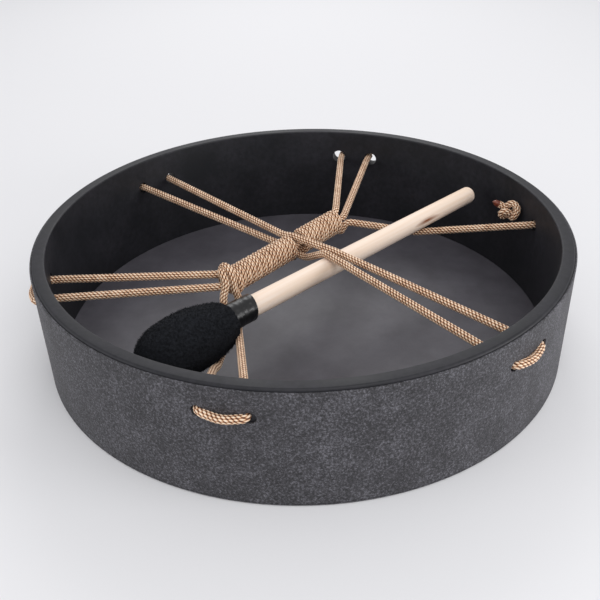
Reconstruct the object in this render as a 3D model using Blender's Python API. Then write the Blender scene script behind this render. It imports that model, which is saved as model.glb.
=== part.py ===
"""Shallow frame drum that lies on its head, with a laced rope handle and a padded mallet.

The drum is a bent hoop with a two-layer head, a covering round its side and six pairs of
holes. One rope runs through the holes: it shows as a loop outside each pair and as strands
inside, and the strands meet in a bound hand grip. The mallet is pushed through the lacing.

Metres, +Z up. The origin is the middle of the head's underside, and the viewer's side is -Y.
"""
import math

import bmesh
import bpy
from mathutils import Matrix, Vector

# Clearance between pieces that touch
SEAT = 0.0003

# Hoop and head
HOOP_OUTER_RADIUS = 0.2032
HOOP_WALL = 0.0095
HOOP_DEPTH = 0.0889
RIM_OUTER_ROUNDING = 0.0040
RIM_INNER_ROUNDING = 0.0030
FOOT_ROUNDING = 0.0015
HEAD_COVER_THICKNESS = 0.0020
HEAD_COVER_ROUNDING = 0.0015
HEAD_FILM_THICKNESS = 0.0005
SIDE_COVERING_THICKNESS = 0.0012
SIDE_COVERING_BELOW_RIM = 0.0035
ROUND_SEGMENTS = 72

# Rope and its holes
ROPE_DIAMETER = 0.0060
HOLE_DIAMETER = 0.0100
HOLE_SPACING_DEGREES = 9.2
HOLE_SIDES = 16
ROPE_IN_HOLE_CLEARANCE = 0.00045
LOOP_STAND_OFF = 0.0005
LOOP_SAG = 0.0015
LOOP_BEND = 0.0055
SEATED_IN_HOLE = 0.0029
STRAIGHT_FROM_HOLE = 0.0037
STRAND_BEND = 0.0050

# Pair of holes: azimuth of its middle in degrees, depth of the holes below the rim
HOLE_PAIRS = {
    "back_left": (133.8, 0.0250),
    "back": (73.7, 0.0250),
    "right": (14.4, 0.0250),
    "front_right": (314.1, 0.0230),
    "front_left": (255.8, 0.0210),
    "left": (193.8, 0.0250),
}

# Hand grip
GRIP_LEFT_X = -0.0609
GRIP_LEFT_Y = -0.0426
GRIP_BELOW_RIM = 0.0280
GRIP_HEADING = math.radians(47.9)
GRIP_LENGTH = 0.1364
CORE_STRAND_DIAMETER = 0.0044
WINDING_ROPE_DIAMETER = 0.0050
POINTS_PER_TURN = 24
LEFT_WINDING_START = 0.0078
LEFT_WINDING_TURNS = 12
LEFT_WINDING_PITCH = 0.00568
RIGHT_WINDING_START = 0.0878
RIGHT_WINDING_TURNS = 8
RIGHT_WINDING_PITCH = 0.0057
CROSSING_PLACE = 0.0818
CROSSING_HALF_LENGTH = 0.0120
END_STRAND_RISE = 0.0020
UPPER_STRAND_RISE = 0.0071
END_STRAND_DROP = 0.0044
UPPER_STRAND_STRAIGHT = 0.0030
LOWER_STRAND_STRAIGHT = 0.0030
LEAD_OUT = 0.0030
LEFT_LEAD_ACROSS = 0.0085
LEFT_LEAD_ALONG = 0.0037
LEFT_LEAD_DROP = 0.0030
RIGHT_LEAD_ACROSS = 0.0068
RIGHT_LEAD_ALONG = 0.0055
RIGHT_LEAD_RISE = 0.0047

# Mallet: a point on its axis at the neck, and how the axis lies
MALLET_NECK_X = -0.0450
MALLET_NECK_Y = -0.0678
MALLET_NECK_BELOW_RIM = 0.0350
MALLET_HEADING = math.radians(39.06)
MALLET_RISE = math.radians(3.04)
SHAFT_NECK_RADIUS = 0.0082
SHAFT_BUTT_RADIUS = 0.0072
SHAFT_FROM_NECK = 0.2528
SHAFT_IN_HEAD = 0.0603
BUTT_ROUNDING = 0.0040
TAPE_THICKNESS = 0.0012
TAPE_ON_SHAFT = 0.0086
TAPE_TO_HEAD = 0.0080
HEAD_START = 0.0083
HEAD_TIP = 0.0893
HEAD_RADIUS = 0.0228
HEAD_MOUTH_RADIUS = 0.0094
HEAD_OUTLINE_STEPS = 11
FLEECE_THICKNESS = 0.0052
CORE_START = 0.0180
MALLET_SIDES = 24
ROPE_OFF_MALLET = 0.0004

# How far along the mallet the lower front right strand crosses it, and where the strand from
# the grip's left end passes round the padded head: place along it, degrees from below
LOWER_STRAND_CROSSING = 0.0825
ROUND_THE_HEAD = ((-0.009, -20), (-0.012, 0), (-0.018, 14), (-0.024, 32), (-0.030, 52))
ROUND_THE_HEAD_GAP = 0.0020

# Stopper knot
KNOT_DEPTH = 0.0168
KNOT_WIDTH = 0.0190
KNOT_TAIL = 0.0065

ROPE_RADIUS = ROPE_DIAMETER / 2
HOOP_INNER_RADIUS = HOOP_OUTER_RADIUS - HOOP_WALL
HEAD_FILM_BOTTOM = HEAD_COVER_THICKNESS + SEAT
HEAD_FILM_TOP = HEAD_FILM_BOTTOM + HEAD_FILM_THICKNESS
HOOP_BOTTOM = HEAD_FILM_TOP + SEAT
HOOP_TOP = HOOP_BOTTOM + HOOP_DEPTH
GRIP_LEFT_END = Vector((GRIP_LEFT_X, GRIP_LEFT_Y, HOOP_TOP - GRIP_BELOW_RIM))
MALLET_NECK = Vector((MALLET_NECK_X, MALLET_NECK_Y, HOOP_TOP - MALLET_NECK_BELOW_RIM))
COVERING_INNER_RADIUS = HOOP_OUTER_RADIUS + SEAT
COVERING_OUTER_RADIUS = COVERING_INNER_RADIUS + SIDE_COVERING_THICKNESS

# The three core strands touch but for the seat, and the winding lies on them
CORE_RING_RADIUS = (CORE_STRAND_DIAMETER + SEAT) / math.sqrt(3.0)
CORE_RADIUS = CORE_RING_RADIUS + CORE_STRAND_DIAMETER / 2
WINDING_RADIUS = CORE_RADIUS + SEAT + WINDING_ROPE_DIAMETER / 2
CROSSING_RISE = CORE_RADIUS + SEAT + ROPE_RADIUS
OVER_CROSSING_RISE = CORE_RING_RADIUS / 2 + CORE_STRAND_DIAMETER / 2 + SEAT + ROPE_RADIUS
LEFT_WINDING_END = LEFT_WINDING_START + LEFT_WINDING_TURNS * LEFT_WINDING_PITCH
RIGHT_WINDING_END = RIGHT_WINDING_START + RIGHT_WINDING_TURNS * RIGHT_WINDING_PITCH
END_STRAND_APART = ROPE_RADIUS + 0.7 * SEAT
END_STRAND_GAP = 2.6 * SEAT
BUTT_GAP = 1.3 * SEAT
JOINED_TO_WINDING = WINDING_ROPE_DIAMETER + SEAT

UP = Vector((0.0, 0.0, 1.0))
GRIP_ALONG = Vector((math.cos(GRIP_HEADING), math.sin(GRIP_HEADING), 0.0))
GRIP_ACROSS = Vector((-math.sin(GRIP_HEADING), math.cos(GRIP_HEADING), 0.0))
MALLET_PLAN = Vector((math.cos(MALLET_HEADING), math.sin(MALLET_HEADING), 0.0))
MALLET_ALONG = MALLET_PLAN * math.cos(MALLET_RISE) + UP * math.sin(MALLET_RISE)
MALLET_SIDEWAYS = Vector((math.sin(MALLET_HEADING), -math.cos(MALLET_HEADING), 0.0))


def clear_scene():
    """Removes every object, so that the model starts from nothing."""
    for item in list(bpy.data.objects):
        bpy.data.objects.remove(item)


def material(name, colour, roughness):
    """Returns a plain Principled material."""
    made = bpy.data.materials.new(name)
    made.use_nodes = True
    shader = made.node_tree.nodes["Principled BSDF"]
    shader.inputs["Base Color"].default_value = (*colour, 1.0)
    shader.inputs["Roughness"].default_value = roughness
    return made


def add_object(name, data, finish, parent=None):
    """Links a mesh or a curve to the scene as a named object with one material."""
    data.materials.append(finish)
    made = bpy.data.objects.new(name, data)
    bpy.context.collection.objects.link(made)
    made.parent = parent
    return made


def revolved(name, profile, finish, segments=ROUND_SEGMENTS, parent=None):
    """Turns a profile of (radius, height) points into a closed solid round the Z axis.

    A profile that starts and ends on the axis is open there; any other is closed on itself.
    """
    shape = bmesh.new()
    corners = [shape.verts.new((radius, 0.0, height)) for radius, height in profile]
    edges = [shape.edges.new(pair) for pair in zip(corners, corners[1:])]
    if profile[0][0] > 0.0:
        edges.append(shape.edges.new((corners[-1], corners[0])))
    bmesh.ops.spin(shape, geom=corners + edges, cent=(0, 0, 0), axis=(0, 0, 1), dvec=(0, 0, 0),
                   angle=2 * math.pi, steps=segments, use_merge=True)
    bmesh.ops.remove_doubles(shape, verts=shape.verts, dist=1e-6)
    bmesh.ops.recalc_face_normals(shape, faces=shape.faces)
    mesh = bpy.data.meshes.new(name)
    shape.to_mesh(mesh)
    shape.free()
    mesh.shade_smooth()
    mesh.set_sharp_from_angle(angle=math.radians(35))
    return add_object(name, mesh, finish, parent)


def arc(centre, radius, start, end, steps):
    """Points of an arc in a profile, from one angle to another, in degrees."""
    angles = [math.radians(start + (end - start) * i / steps) for i in range(steps + 1)]
    return [(centre[0] + radius * math.cos(a), centre[1] + radius * math.sin(a)) for a in angles]


def tube(name, points, diameter, finish, side_level=2):
    """A stretch of rope: a round tube with flat ends that follows the points."""
    curve = bpy.data.curves.new(name, "CURVE")
    curve.dimensions = "3D"
    curve.bevel_depth = diameter / 2
    curve.bevel_resolution = side_level
    curve.use_fill_caps = True
    spline = curve.splines.new("POLY")
    spline.points.add(len(points) - 1)
    for point, place in zip(spline.points, points):
        point.co = (*place, 1.0)
    spline.use_smooth = True
    return add_object(name, curve, finish)


def eased(corners, reach, steps=4):
    """Replaces each corner of a route by a short curve that starts and ends 'reach' from it."""
    made = [corners[0]]
    for before, corner, after in zip(corners, corners[1:], corners[2:]):
        back = before - corner
        forward = after - corner
        if back.angle(-forward) < math.radians(2.0):
            made.append(corner)
            continue
        start = corner + back.normalized() * min(reach, 0.48 * back.length)
        end = corner + forward.normalized() * min(reach, 0.48 * forward.length)
        for i in range(steps + 1):
            t = i / steps
            made.append(start * (1 - t) ** 2 + corner * (2 * t * (1 - t)) + end * t ** 2)
    made.append(corners[-1])
    return made


def around(azimuth, radius, height):
    """Point at an azimuth in degrees and a radius from the drum's axis."""
    angle = math.radians(azimuth)
    return Vector((radius * math.cos(angle), radius * math.sin(angle), height))


def hole_height(pair):
    """Height of a pair's holes above the floor."""
    return HOOP_TOP - HOLE_PAIRS[pair][1]


def hole_azimuth(pair, side):
    """Azimuth of a hole: side is -1 for the pair's lower azimuth and 1 for its higher one."""
    return HOLE_PAIRS[pair][0] + side * HOLE_SPACING_DEGREES / 2


def rope_azimuth(pair, side):
    """Azimuth of the rope in a hole, which the loop pulls towards the middle of the pair."""
    shift = HOLE_DIAMETER / 2 - ROPE_RADIUS - ROPE_IN_HOLE_CLEARANCE
    return hole_azimuth(pair, side) - side * math.degrees(shift / HOOP_OUTER_RADIUS)


def on_grip(along, across=0.0, above=0.0):
    """Point on the hand grip: along its axis from the left end, across it and above it."""
    return GRIP_LEFT_END + GRIP_ALONG * along + GRIP_ACROSS * across + UP * above


def on_mallet(along):
    """Point on the mallet's axis, measured from its neck towards the butt."""
    return MALLET_NECK + MALLET_ALONG * along


def egg_radius(along):
    """Radius of the padded head at a place along the mallet's axis."""
    share = (along + (HEAD_START + HEAD_TIP) / 2) / ((HEAD_TIP - HEAD_START) / 2)
    if share < 0.0:
        return HEAD_RADIUS * max(1.0 - (-share) ** 2.6, 0.0) ** 0.5
    flare = max(1.0 - share ** 2, 0.0) ** 0.625
    return HEAD_MOUTH_RADIUS + (HEAD_RADIUS - HEAD_MOUTH_RADIUS) * flare


def mallet_radius(along):
    """Outer radius of the mallet at a place along its axis."""
    if along < -HEAD_START:
        return egg_radius(along)
    if along < TAPE_ON_SHAFT:
        return SHAFT_NECK_RADIUS + SEAT + TAPE_THICKNESS
    share = along / SHAFT_FROM_NECK
    return SHAFT_NECK_RADIUS + (SHAFT_BUTT_RADIUS - SHAFT_NECK_RADIUS) * share


def past_mallet(start, crossing, end, side):
    """Taut route from start to end that bends round the mallet at a crossing place.

    The crossing is a distance along the mallet's axis. side is 1 for a rope over the mallet
    and -1 for one under it. In the upright plane of each half of the route the mallet's
    section is an ellipse, so that plane is squeezed until it is a circle.
    """
    centre = on_mallet(crossing)
    slope = math.tan(MALLET_RISE)
    reach = mallet_radius(crossing) + ROPE_RADIUS + ROPE_OFF_MALLET
    halves = []
    for point in (start, end):
        offset = Vector((point.x - centre.x, point.y - centre.y, 0.0))
        squeeze = math.sin(offset.angle(MALLET_PLAN))
        away = offset.length * squeeze
        lift = side * (point.z - centre.z - slope * offset.dot(MALLET_PLAN))
        angle = math.atan2(lift, away) + math.acos(reach / math.hypot(away, lift))
        halves.append((offset.normalized() / squeeze, angle))
    turns = [(halves[0], i / 3) for i in range(3)] + [(halves[1], i / 3) for i in (3, 2, 1, 0)]
    route = [start]
    for (plan, angle), share in turns:
        turn = angle + (math.pi / 2 - angle) * share
        step = plan * (reach * math.cos(turn))
        height = side * reach * math.sin(turn) + slope * step.dot(MALLET_PLAN)
        route.append(centre + step + UP * height)
    return route + [end]


def crossing_towards(start, end):
    """Distance along the mallet's axis at which a straight line crosses it in plan."""
    normal = Vector((start.y - end.y, end.x - start.x, 0.0))
    return normal.dot(start - MALLET_NECK) / normal.dot(MALLET_ALONG)


def hole_cutter():
    """Round bars on the axes of all the rope holes."""
    shape = bmesh.new()
    for pair in HOLE_PAIRS:
        for side in (-1, 1):
            azimuth = hole_azimuth(pair, side)
            middle = around(azimuth, HOOP_OUTER_RADIUS - HOOP_WALL / 2, hole_height(pair))
            place = (Matrix.Translation(middle) @ Matrix.Rotation(math.radians(azimuth), 4, "Z")
                     @ Matrix.Rotation(math.radians(90), 4, "Y"))
            bmesh.ops.create_cone(shape, cap_ends=True, segments=HOLE_SIDES,
                                  radius1=HOLE_DIAMETER / 2, radius2=HOLE_DIAMETER / 2,
                                  depth=3 * HOOP_WALL, matrix=place)
    bmesh.ops.recalc_face_normals(shape, faces=shape.faces)
    mesh = bpy.data.meshes.new("hole_cutter")
    shape.to_mesh(mesh)
    shape.free()
    cutter = bpy.data.objects.new("hole_cutter", mesh)
    bpy.context.collection.objects.link(cutter)
    cutter.hide_render = True
    cutter.display_type = "WIRE"
    return cutter


def drill(target, cutter):
    """Cuts the rope holes through a piece."""
    cut = target.modifiers.new("rope_holes", "BOOLEAN")
    cut.operation = "DIFFERENCE"
    cut.solver = "EXACT"
    cut.object = cutter


def build_drum_body():
    """Hoop, head and side covering."""
    cutter = hole_cutter()
    outer_centre = (HOOP_OUTER_RADIUS - RIM_OUTER_ROUNDING, HOOP_TOP - RIM_OUTER_ROUNDING)
    inner_centre = (HOOP_INNER_RADIUS + RIM_INNER_ROUNDING, HOOP_TOP - RIM_INNER_ROUNDING)
    hoop = arc(outer_centre, RIM_OUTER_ROUNDING, 0, 90, 4)
    hoop += arc(inner_centre, RIM_INNER_ROUNDING, 90, 180, 3)
    hoop += [(HOOP_INNER_RADIUS, HOOP_BOTTOM), (HOOP_OUTER_RADIUS - FOOT_ROUNDING, HOOP_BOTTOM),
             (HOOP_OUTER_RADIUS, HOOP_BOTTOM + FOOT_ROUNDING)]
    painted = material("painted_hoop", (0.030, 0.031, 0.034), 0.55)
    drill(revolved("shell_hoop", hoop, painted), cutter)

    top = HOOP_TOP - SIDE_COVERING_BELOW_RIM
    edge = SIDE_COVERING_THICKNESS / 2
    band = [(COVERING_INNER_RADIUS, HEAD_FILM_BOTTOM), (COVERING_OUTER_RADIUS, HEAD_FILM_BOTTOM),
            (COVERING_OUTER_RADIUS, top - edge), (COVERING_OUTER_RADIUS - edge, top),
            (COVERING_INNER_RADIUS, top)]
    textured = material("textured_covering", (0.060, 0.060, 0.068), 0.95)
    drill(revolved("side_covering", band, textured), cutter)

    film = [(0.0, HEAD_FILM_TOP), (HOOP_OUTER_RADIUS, HEAD_FILM_TOP),
            (HOOP_OUTER_RADIUS, HEAD_FILM_BOTTOM), (0.0, HEAD_FILM_BOTTOM)]
    revolved("head_film", film, material("striking_film", (0.045, 0.045, 0.050), 0.75))

    foot_centre = (COVERING_OUTER_RADIUS - HEAD_COVER_ROUNDING, HEAD_COVER_ROUNDING)
    cover = [(0.0, HEAD_COVER_THICKNESS), (COVERING_OUTER_RADIUS, HEAD_COVER_THICKNESS)]
    cover += arc(foot_centre, HEAD_COVER_ROUNDING, 0, -90, 3) + [(0.0, 0.0)]
    revolved("head_cover", cover, textured)


def build_outside_loops(rope):
    """The loop that shows outside each pair of holes."""
    outside = COVERING_OUTER_RADIUS + ROPE_RADIUS + LOOP_STAND_OFF
    for pair, (middle, _) in HOLE_PAIRS.items():
        height = hole_height(pair)
        ends = [HOOP_INNER_RADIUS + SEATED_IN_HOLE + SEAT] * 2
        if pair == "right":
            ends[1] = HOOP_INNER_RADIUS + SEAT
        low, high = rope_azimuth(pair, -1), rope_azimuth(pair, 1)
        corners = [around(low, ends[0], height), around(low, outside, height),
                   around(middle, outside, height - LOOP_SAG),
                   around(high, outside, height), around(high, ends[1], height)]
        tube("rope_loop_" + pair, eased(corners, LOOP_BEND), ROPE_DIAMETER, rope)


def towards_hole(pair, side):
    """Last two points of a strand: inside the drum on the hole's axis, and seated in the hole."""
    azimuth = rope_azimuth(pair, side)
    height = hole_height(pair)
    return [around(azimuth, HOOP_INNER_RADIUS - STRAIGHT_FROM_HOLE, height),
            around(azimuth, HOOP_INNER_RADIUS + SEATED_IN_HOLE, height)]


def strand(name, corners, rope):
    """One stretch of rope between the grip and a hole."""
    tube("rope_strand_" + name, eased(corners, STRAND_BEND), ROPE_DIAMETER, rope)


def straight_strand(name, start, way, upper, pair, side, rope):
    """A strand from one end of the grip straight to a hole.

    It starts along the grip at start and first runs the way that way gives. The upper one lies
    on the core and butts against the winding, and the lower one meets the core's end.
    """
    across, above = (1, UPPER_STRAND_RISE) if upper else (-1, END_STRAND_RISE)
    straight = UPPER_STRAND_STRAIGHT if upper else LOWER_STRAND_STRAIGHT
    corners = [on_grip(start, across * END_STRAND_APART, above),
               on_grip(start + way * straight, across * END_STRAND_APART, above)]
    strand(name, corners + towards_hole(pair, side), rope)


def build_left_strands(rope):
    """Strands at the grip's left end, and the one that runs into the left winding."""
    at_end = -END_STRAND_GAP
    first_turn = LEFT_WINDING_START + LEFT_WINDING_PITCH / 4 - WINDING_ROPE_DIAMETER / 2
    straight_strand("left_1", first_turn - BUTT_GAP, -1, True, "left", -1, rope)
    straight_strand("left_2", at_end, -1, False, "left", 1, rope)

    route = [on_grip(at_end, 0.0, -END_STRAND_DROP),
             on_grip(at_end - LOWER_STRAND_STRAIGHT, 0.0, -END_STRAND_DROP)]
    for along, degrees in ROUND_THE_HEAD:
        turn = math.radians(degrees)
        away = mallet_radius(along) + ROPE_RADIUS + ROUND_THE_HEAD_GAP
        offset = MALLET_SIDEWAYS * (away * math.sin(turn)) - UP * (away * math.cos(turn))
        route.append(on_mallet(along) + offset)
    strand("front_left_1", route + towards_hole("front_left", -1), rope)

    start = on_grip(LEFT_WINDING_START, -JOINED_TO_WINDING, -WINDING_RADIUS)
    out = start - GRIP_ACROSS * LEAD_OUT
    turn = start - GRIP_ACROSS * LEFT_LEAD_ACROSS + GRIP_ALONG * LEFT_LEAD_ALONG
    turn -= UP * LEFT_LEAD_DROP
    hole = towards_hole("front_left", 1)
    route = past_mallet(turn, crossing_towards(turn, hole[0]), hole[0], -1)
    strand("front_left_2", [start, out] + route + hole[1:], rope)


def build_right_strands(rope):
    """Strands at the grip's right end, and the one that leaves the right winding."""
    last_turn = RIGHT_WINDING_END - RIGHT_WINDING_PITCH / 4 + WINDING_ROPE_DIAMETER / 2
    straight_strand("back_1", last_turn + BUTT_GAP, 1, True, "back", 1, rope)
    straight_strand("back_2", GRIP_LENGTH + END_STRAND_GAP, 1, False, "back", -1, rope)

    start = on_grip(RIGHT_WINDING_END, -JOINED_TO_WINDING, -WINDING_RADIUS)
    out = start - GRIP_ACROSS * LEAD_OUT
    turn = start - GRIP_ACROSS * RIGHT_LEAD_ACROSS + GRIP_ALONG * RIGHT_LEAD_ALONG
    turn += UP * RIGHT_LEAD_RISE
    hole = towards_hole("right", -1)
    route = past_mallet(turn, crossing_towards(turn, hole[0]), hole[0], -1)
    strand("right", [start, out] + route + hole[1:], rope)


def build_crossing_strands(rope):
    """Two ropes that cross the grip between its windings, one over its core and one under it."""
    for name, rise, side in (("back_left_2", OVER_CROSSING_RISE, -1),
                             ("back_left_1", -CROSSING_RISE, 1)):
        corners = [on_grip(CROSSING_PLACE, SEAT / 2, rise),
                   on_grip(CROSSING_PLACE, CROSSING_HALF_LENGTH, rise)]
        strand(name, corners + towards_hole("back_left", side), rope)

    for name, rise, side in (("front_right_2", OVER_CROSSING_RISE, 1),
                             ("front_right_1", -CROSSING_RISE, -1)):
        start = on_grip(CROSSING_PLACE, -SEAT / 2, rise)
        turn = on_grip(CROSSING_PLACE, -CROSSING_HALF_LENGTH, rise)
        hole = towards_hole("front_right", side)
        crossing = crossing_towards(turn, hole[0]) if side > 0 else LOWER_STRAND_CROSSING
        strand(name, [start] + past_mallet(turn, crossing, hole[0], 1) + hole[1:], rope)


def build_grip(rope):
    """The grip's core strands and its two windings."""
    for number, degrees in enumerate((30, 150, 270), start=1):
        turn = math.radians(degrees)
        across, above = CORE_RING_RADIUS * math.cos(turn), CORE_RING_RADIUS * math.sin(turn)
        ends = [on_grip(-SEAT, across, above), on_grip(GRIP_LENGTH + SEAT, across, above)]
        tube(f"grip_core_strand_{number}", ends, CORE_STRAND_DIAMETER, rope)
    winding("left", LEFT_WINDING_START, LEFT_WINDING_TURNS, LEFT_WINDING_PITCH, 1, rope)
    winding("right", RIGHT_WINDING_START, RIGHT_WINDING_TURNS, RIGHT_WINDING_PITCH, -1, rope)


def winding(name, start, turns, pitch, way, rope):
    """Binding of the grip: one unbroken helix whose ends run straight for one rope diameter.

    It starts and ends under the grip. way is 1 where the rope goes across the bottom in the
    grip's across direction, and -1 where it goes against it.
    """
    points = [on_grip(start, -way * WINDING_ROPE_DIAMETER, -WINDING_RADIUS)]
    for i in range(turns * POINTS_PER_TURN + 1):
        turn = 2 * math.pi * i / POINTS_PER_TURN
        across, above = way * WINDING_RADIUS * math.sin(turn), -WINDING_RADIUS * math.cos(turn)
        points.append(on_grip(start + pitch * i / POINTS_PER_TURN, across, above))
    points.append(on_grip(start + turns * pitch, way * WINDING_ROPE_DIAMETER, -WINDING_RADIUS))
    gap = least_gap(points) - WINDING_ROPE_DIAMETER
    print(f"grip_winding_{name}: least gap between its turns {gap * 1000:.2f} mm")
    tube("grip_winding_" + name, points, WINDING_ROPE_DIAMETER, rope, side_level=1)


def least_gap(points):
    """Least distance between stretches of a winding that are half a turn or more apart."""
    return min((other - point).length
               for i, point in enumerate(points)
               for other in points[i + POINTS_PER_TURN // 2:i + 2 * POINTS_PER_TURN])


def build_knot(rope):
    """Stopper knot against the inside of the wall at the right pair's higher-azimuth hole."""
    azimuth = rope_azimuth("right", 1)
    shape = bmesh.new()
    bmesh.ops.create_icosphere(shape, subdivisions=3, radius=1.0)
    for vert in shape.verts:
        x, y, z = vert.co
        lobe = 1.0 - 0.06 * (1.0 - math.cos(3 * math.atan2(z, y) + 1.5 * x)) * (1.0 - x * x)
        tail = KNOT_TAIL * max(0.0, (-x - 0.75) / 0.25) ** 1.3
        vert.co = Vector((x * KNOT_DEPTH / 2 - tail, y * KNOT_WIDTH / 2 * lobe,
                          z * KNOT_DEPTH / 2 * lobe + 0.35 * tail))
    wall = HOOP_INNER_RADIUS * math.cos(math.pi / ROUND_SEGMENTS)
    centre = around(azimuth, wall - 1.5 * SEAT - KNOT_DEPTH / 2, hole_height("right"))
    place = Matrix.Translation(centre) @ Matrix.Rotation(math.radians(azimuth), 4, "Z")
    bmesh.ops.transform(shape, matrix=place, verts=shape.verts)
    mesh = bpy.data.meshes.new("stopper_knot")
    shape.to_mesh(mesh)
    shape.free()
    mesh.shade_smooth()
    add_object("stopper_knot", mesh, rope)


def build_padded_head(holder):
    """The head's dense core and the fleece bag over it, both open towards the neck."""
    bore = SHAFT_NECK_RADIUS + SEAT
    outline = []
    for i in range(HEAD_OUTLINE_STEPS + 1):
        share = math.cos(math.pi * i / HEAD_OUTLINE_STEPS)
        along = -(HEAD_START + HEAD_TIP) / 2 + share * (HEAD_TIP - HEAD_START) / 2
        outline.append((egg_radius(along), along))

    core_tip = -HEAD_TIP + FLEECE_THICKNESS + SEAT
    side = [(outline[2][0] - FLEECE_THICKNESS, -CORE_START)]
    side += [(radius - FLEECE_THICKNESS, along) for radius, along in outline[3:-2]]
    tip_flat = 0.75 * side[-1][0]
    socket = -SHAFT_IN_HEAD - SEAT
    core = [(0.0, socket), (bore, socket), (bore, -CORE_START)] + side
    core += [(tip_flat, core_tip), (0.0, core_tip)]
    revolved("mallet_head_core", core, material("dense_foam", (0.10, 0.10, 0.10), 0.9),
             MALLET_SIDES, holder)

    cavity_mouth = -CORE_START + SEAT
    cavity = [(side[0][0] + SEAT, cavity_mouth)]
    cavity += [(radius + SEAT, along) for radius, along in side[1:]]
    cavity += [(tip_flat + SEAT, core_tip - SEAT), (0.0, core_tip - SEAT)]
    fleece = cavity[::-1] + [(bore, cavity_mouth), (bore, -HEAD_START)]
    fleece += outline[:-1] + [(0.0, -HEAD_TIP)]
    revolved("mallet_fleece_cover", fleece, material("black_fleece", (0.012, 0.012, 0.014), 1.0),
             MALLET_SIDES, holder)


def build_mallet():
    """Shaft, padded head and neck tape, on an empty that stands on the mallet's axis."""
    holder = bpy.data.objects.new("mallet_axis", None)
    bpy.context.collection.objects.link(holder)
    holder.location = MALLET_NECK
    holder.rotation_euler = MALLET_ALONG.to_track_quat("Z", "Y").to_euler()

    shaft = [(0.0, -SHAFT_IN_HEAD), (SHAFT_NECK_RADIUS, -SHAFT_IN_HEAD), (SHAFT_NECK_RADIUS, 0.0)]
    shaft += arc((SHAFT_BUTT_RADIUS - BUTT_ROUNDING, SHAFT_FROM_NECK - BUTT_ROUNDING),
                 BUTT_ROUNDING, 0, 90, 4)
    shaft += [(0.0, SHAFT_FROM_NECK)]
    revolved("mallet_shaft", shaft, material("turned_wood", (0.72, 0.58, 0.46), 0.45),
             MALLET_SIDES, holder)
    build_padded_head(holder)

    inner = SHAFT_NECK_RADIUS + SEAT
    outer = inner + TAPE_THICKNESS
    tape = [(inner, TAPE_ON_SHAFT), (outer, TAPE_ON_SHAFT), (outer, -TAPE_TO_HEAD),
            (inner, -TAPE_TO_HEAD)]
    revolved("mallet_neck_tape", tape, material("vinyl_tape", (0.010, 0.010, 0.012), 0.25),
             MALLET_SIDES, holder)


def main():
    """Builds the drum, its lacing and the mallet."""
    clear_scene()
    build_drum_body()
    rope = material("braided_rope", (0.56, 0.38, 0.23), 0.75)
    build_outside_loops(rope)
    build_left_strands(rope)
    build_right_strands(rope)
    build_crossing_strands(rope)
    build_grip(rope)
    build_knot(rope)
    build_mallet()


main()
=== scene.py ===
"""Looks of a frame drum that lies on its head, with a laced rope handle and a padded mallet.

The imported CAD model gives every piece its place. This script dresses it: a painted hoop, a
textured covering, a matt striking film, solid-braid rope and a fleece mallet on a maple shaft.
Lengths are in metres, +Z is up and the viewer stands on the -Y side.
"""
from __future__ import annotations

import logging
import math
import random
from collections.abc import Callable, Sequence
from dataclasses import dataclass, field
from enum import Enum

import bmesh
import bpy
import numpy as np
from mathutils import Matrix, Quaternion, Vector, noise

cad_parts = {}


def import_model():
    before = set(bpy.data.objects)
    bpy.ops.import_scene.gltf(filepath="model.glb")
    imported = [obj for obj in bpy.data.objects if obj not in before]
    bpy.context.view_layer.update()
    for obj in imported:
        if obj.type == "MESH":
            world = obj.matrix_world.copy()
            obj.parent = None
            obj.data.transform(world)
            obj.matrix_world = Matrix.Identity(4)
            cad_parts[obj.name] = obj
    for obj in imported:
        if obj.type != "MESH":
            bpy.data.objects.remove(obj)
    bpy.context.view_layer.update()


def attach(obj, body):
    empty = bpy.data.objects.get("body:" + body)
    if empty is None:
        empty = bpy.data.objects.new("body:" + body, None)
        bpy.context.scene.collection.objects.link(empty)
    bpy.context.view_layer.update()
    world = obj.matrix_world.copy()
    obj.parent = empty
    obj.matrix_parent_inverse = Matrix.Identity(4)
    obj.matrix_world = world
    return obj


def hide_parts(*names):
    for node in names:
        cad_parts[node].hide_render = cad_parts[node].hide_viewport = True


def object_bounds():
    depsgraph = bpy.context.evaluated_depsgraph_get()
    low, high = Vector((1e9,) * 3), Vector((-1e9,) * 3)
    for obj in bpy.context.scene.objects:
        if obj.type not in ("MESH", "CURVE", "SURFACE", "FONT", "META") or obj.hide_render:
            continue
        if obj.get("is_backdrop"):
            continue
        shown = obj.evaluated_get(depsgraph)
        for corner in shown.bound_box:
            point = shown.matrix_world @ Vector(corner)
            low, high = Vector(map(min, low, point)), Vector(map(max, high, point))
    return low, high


log = logging.getLogger("drum")

UP = Vector((0.0, 0.0, 1.0))
SEAT = 0.0003  # clearance between pieces that touch
UV_UNIT = 0.01  # one unit of a rope's UV map is 10 mm
MERGE = 1e-6  # vertices nearer to each other than this become one
DRUM_CREASE = 35.0  # degrees past which an edge of the drum's pieces is drawn sharp

Place = tuple[float, float, float]
RadiusAlong = Callable[[np.ndarray], np.ndarray]


class Side(Enum):
    """Which hole of a pair: the one at the lower azimuth or the one at the higher."""

    LOWER = -1
    HIGHER = 1


class Passing(Enum):
    """How a rope passes the mallet or the grip."""

    OVER = 1
    UNDER = -1


# Materials


def srgb(colour: str) -> tuple[float, float, float, float]:
    """Turns an sRGB hex colour into linear values.

    Args:
        colour: six hex digits after a #.

    Returns:
        Linear red, green and blue, and an alpha of 1.
    """
    digits = colour.lstrip("#")
    parts = [int(digits[i:i + 2], 16) / 255 for i in (0, 2, 4)]
    linear = [p / 12.92 if p <= 0.04045 else ((p + 0.055) / 1.055) ** 2.4 for p in parts]
    return linear[0], linear[1], linear[2], 1.0


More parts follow.
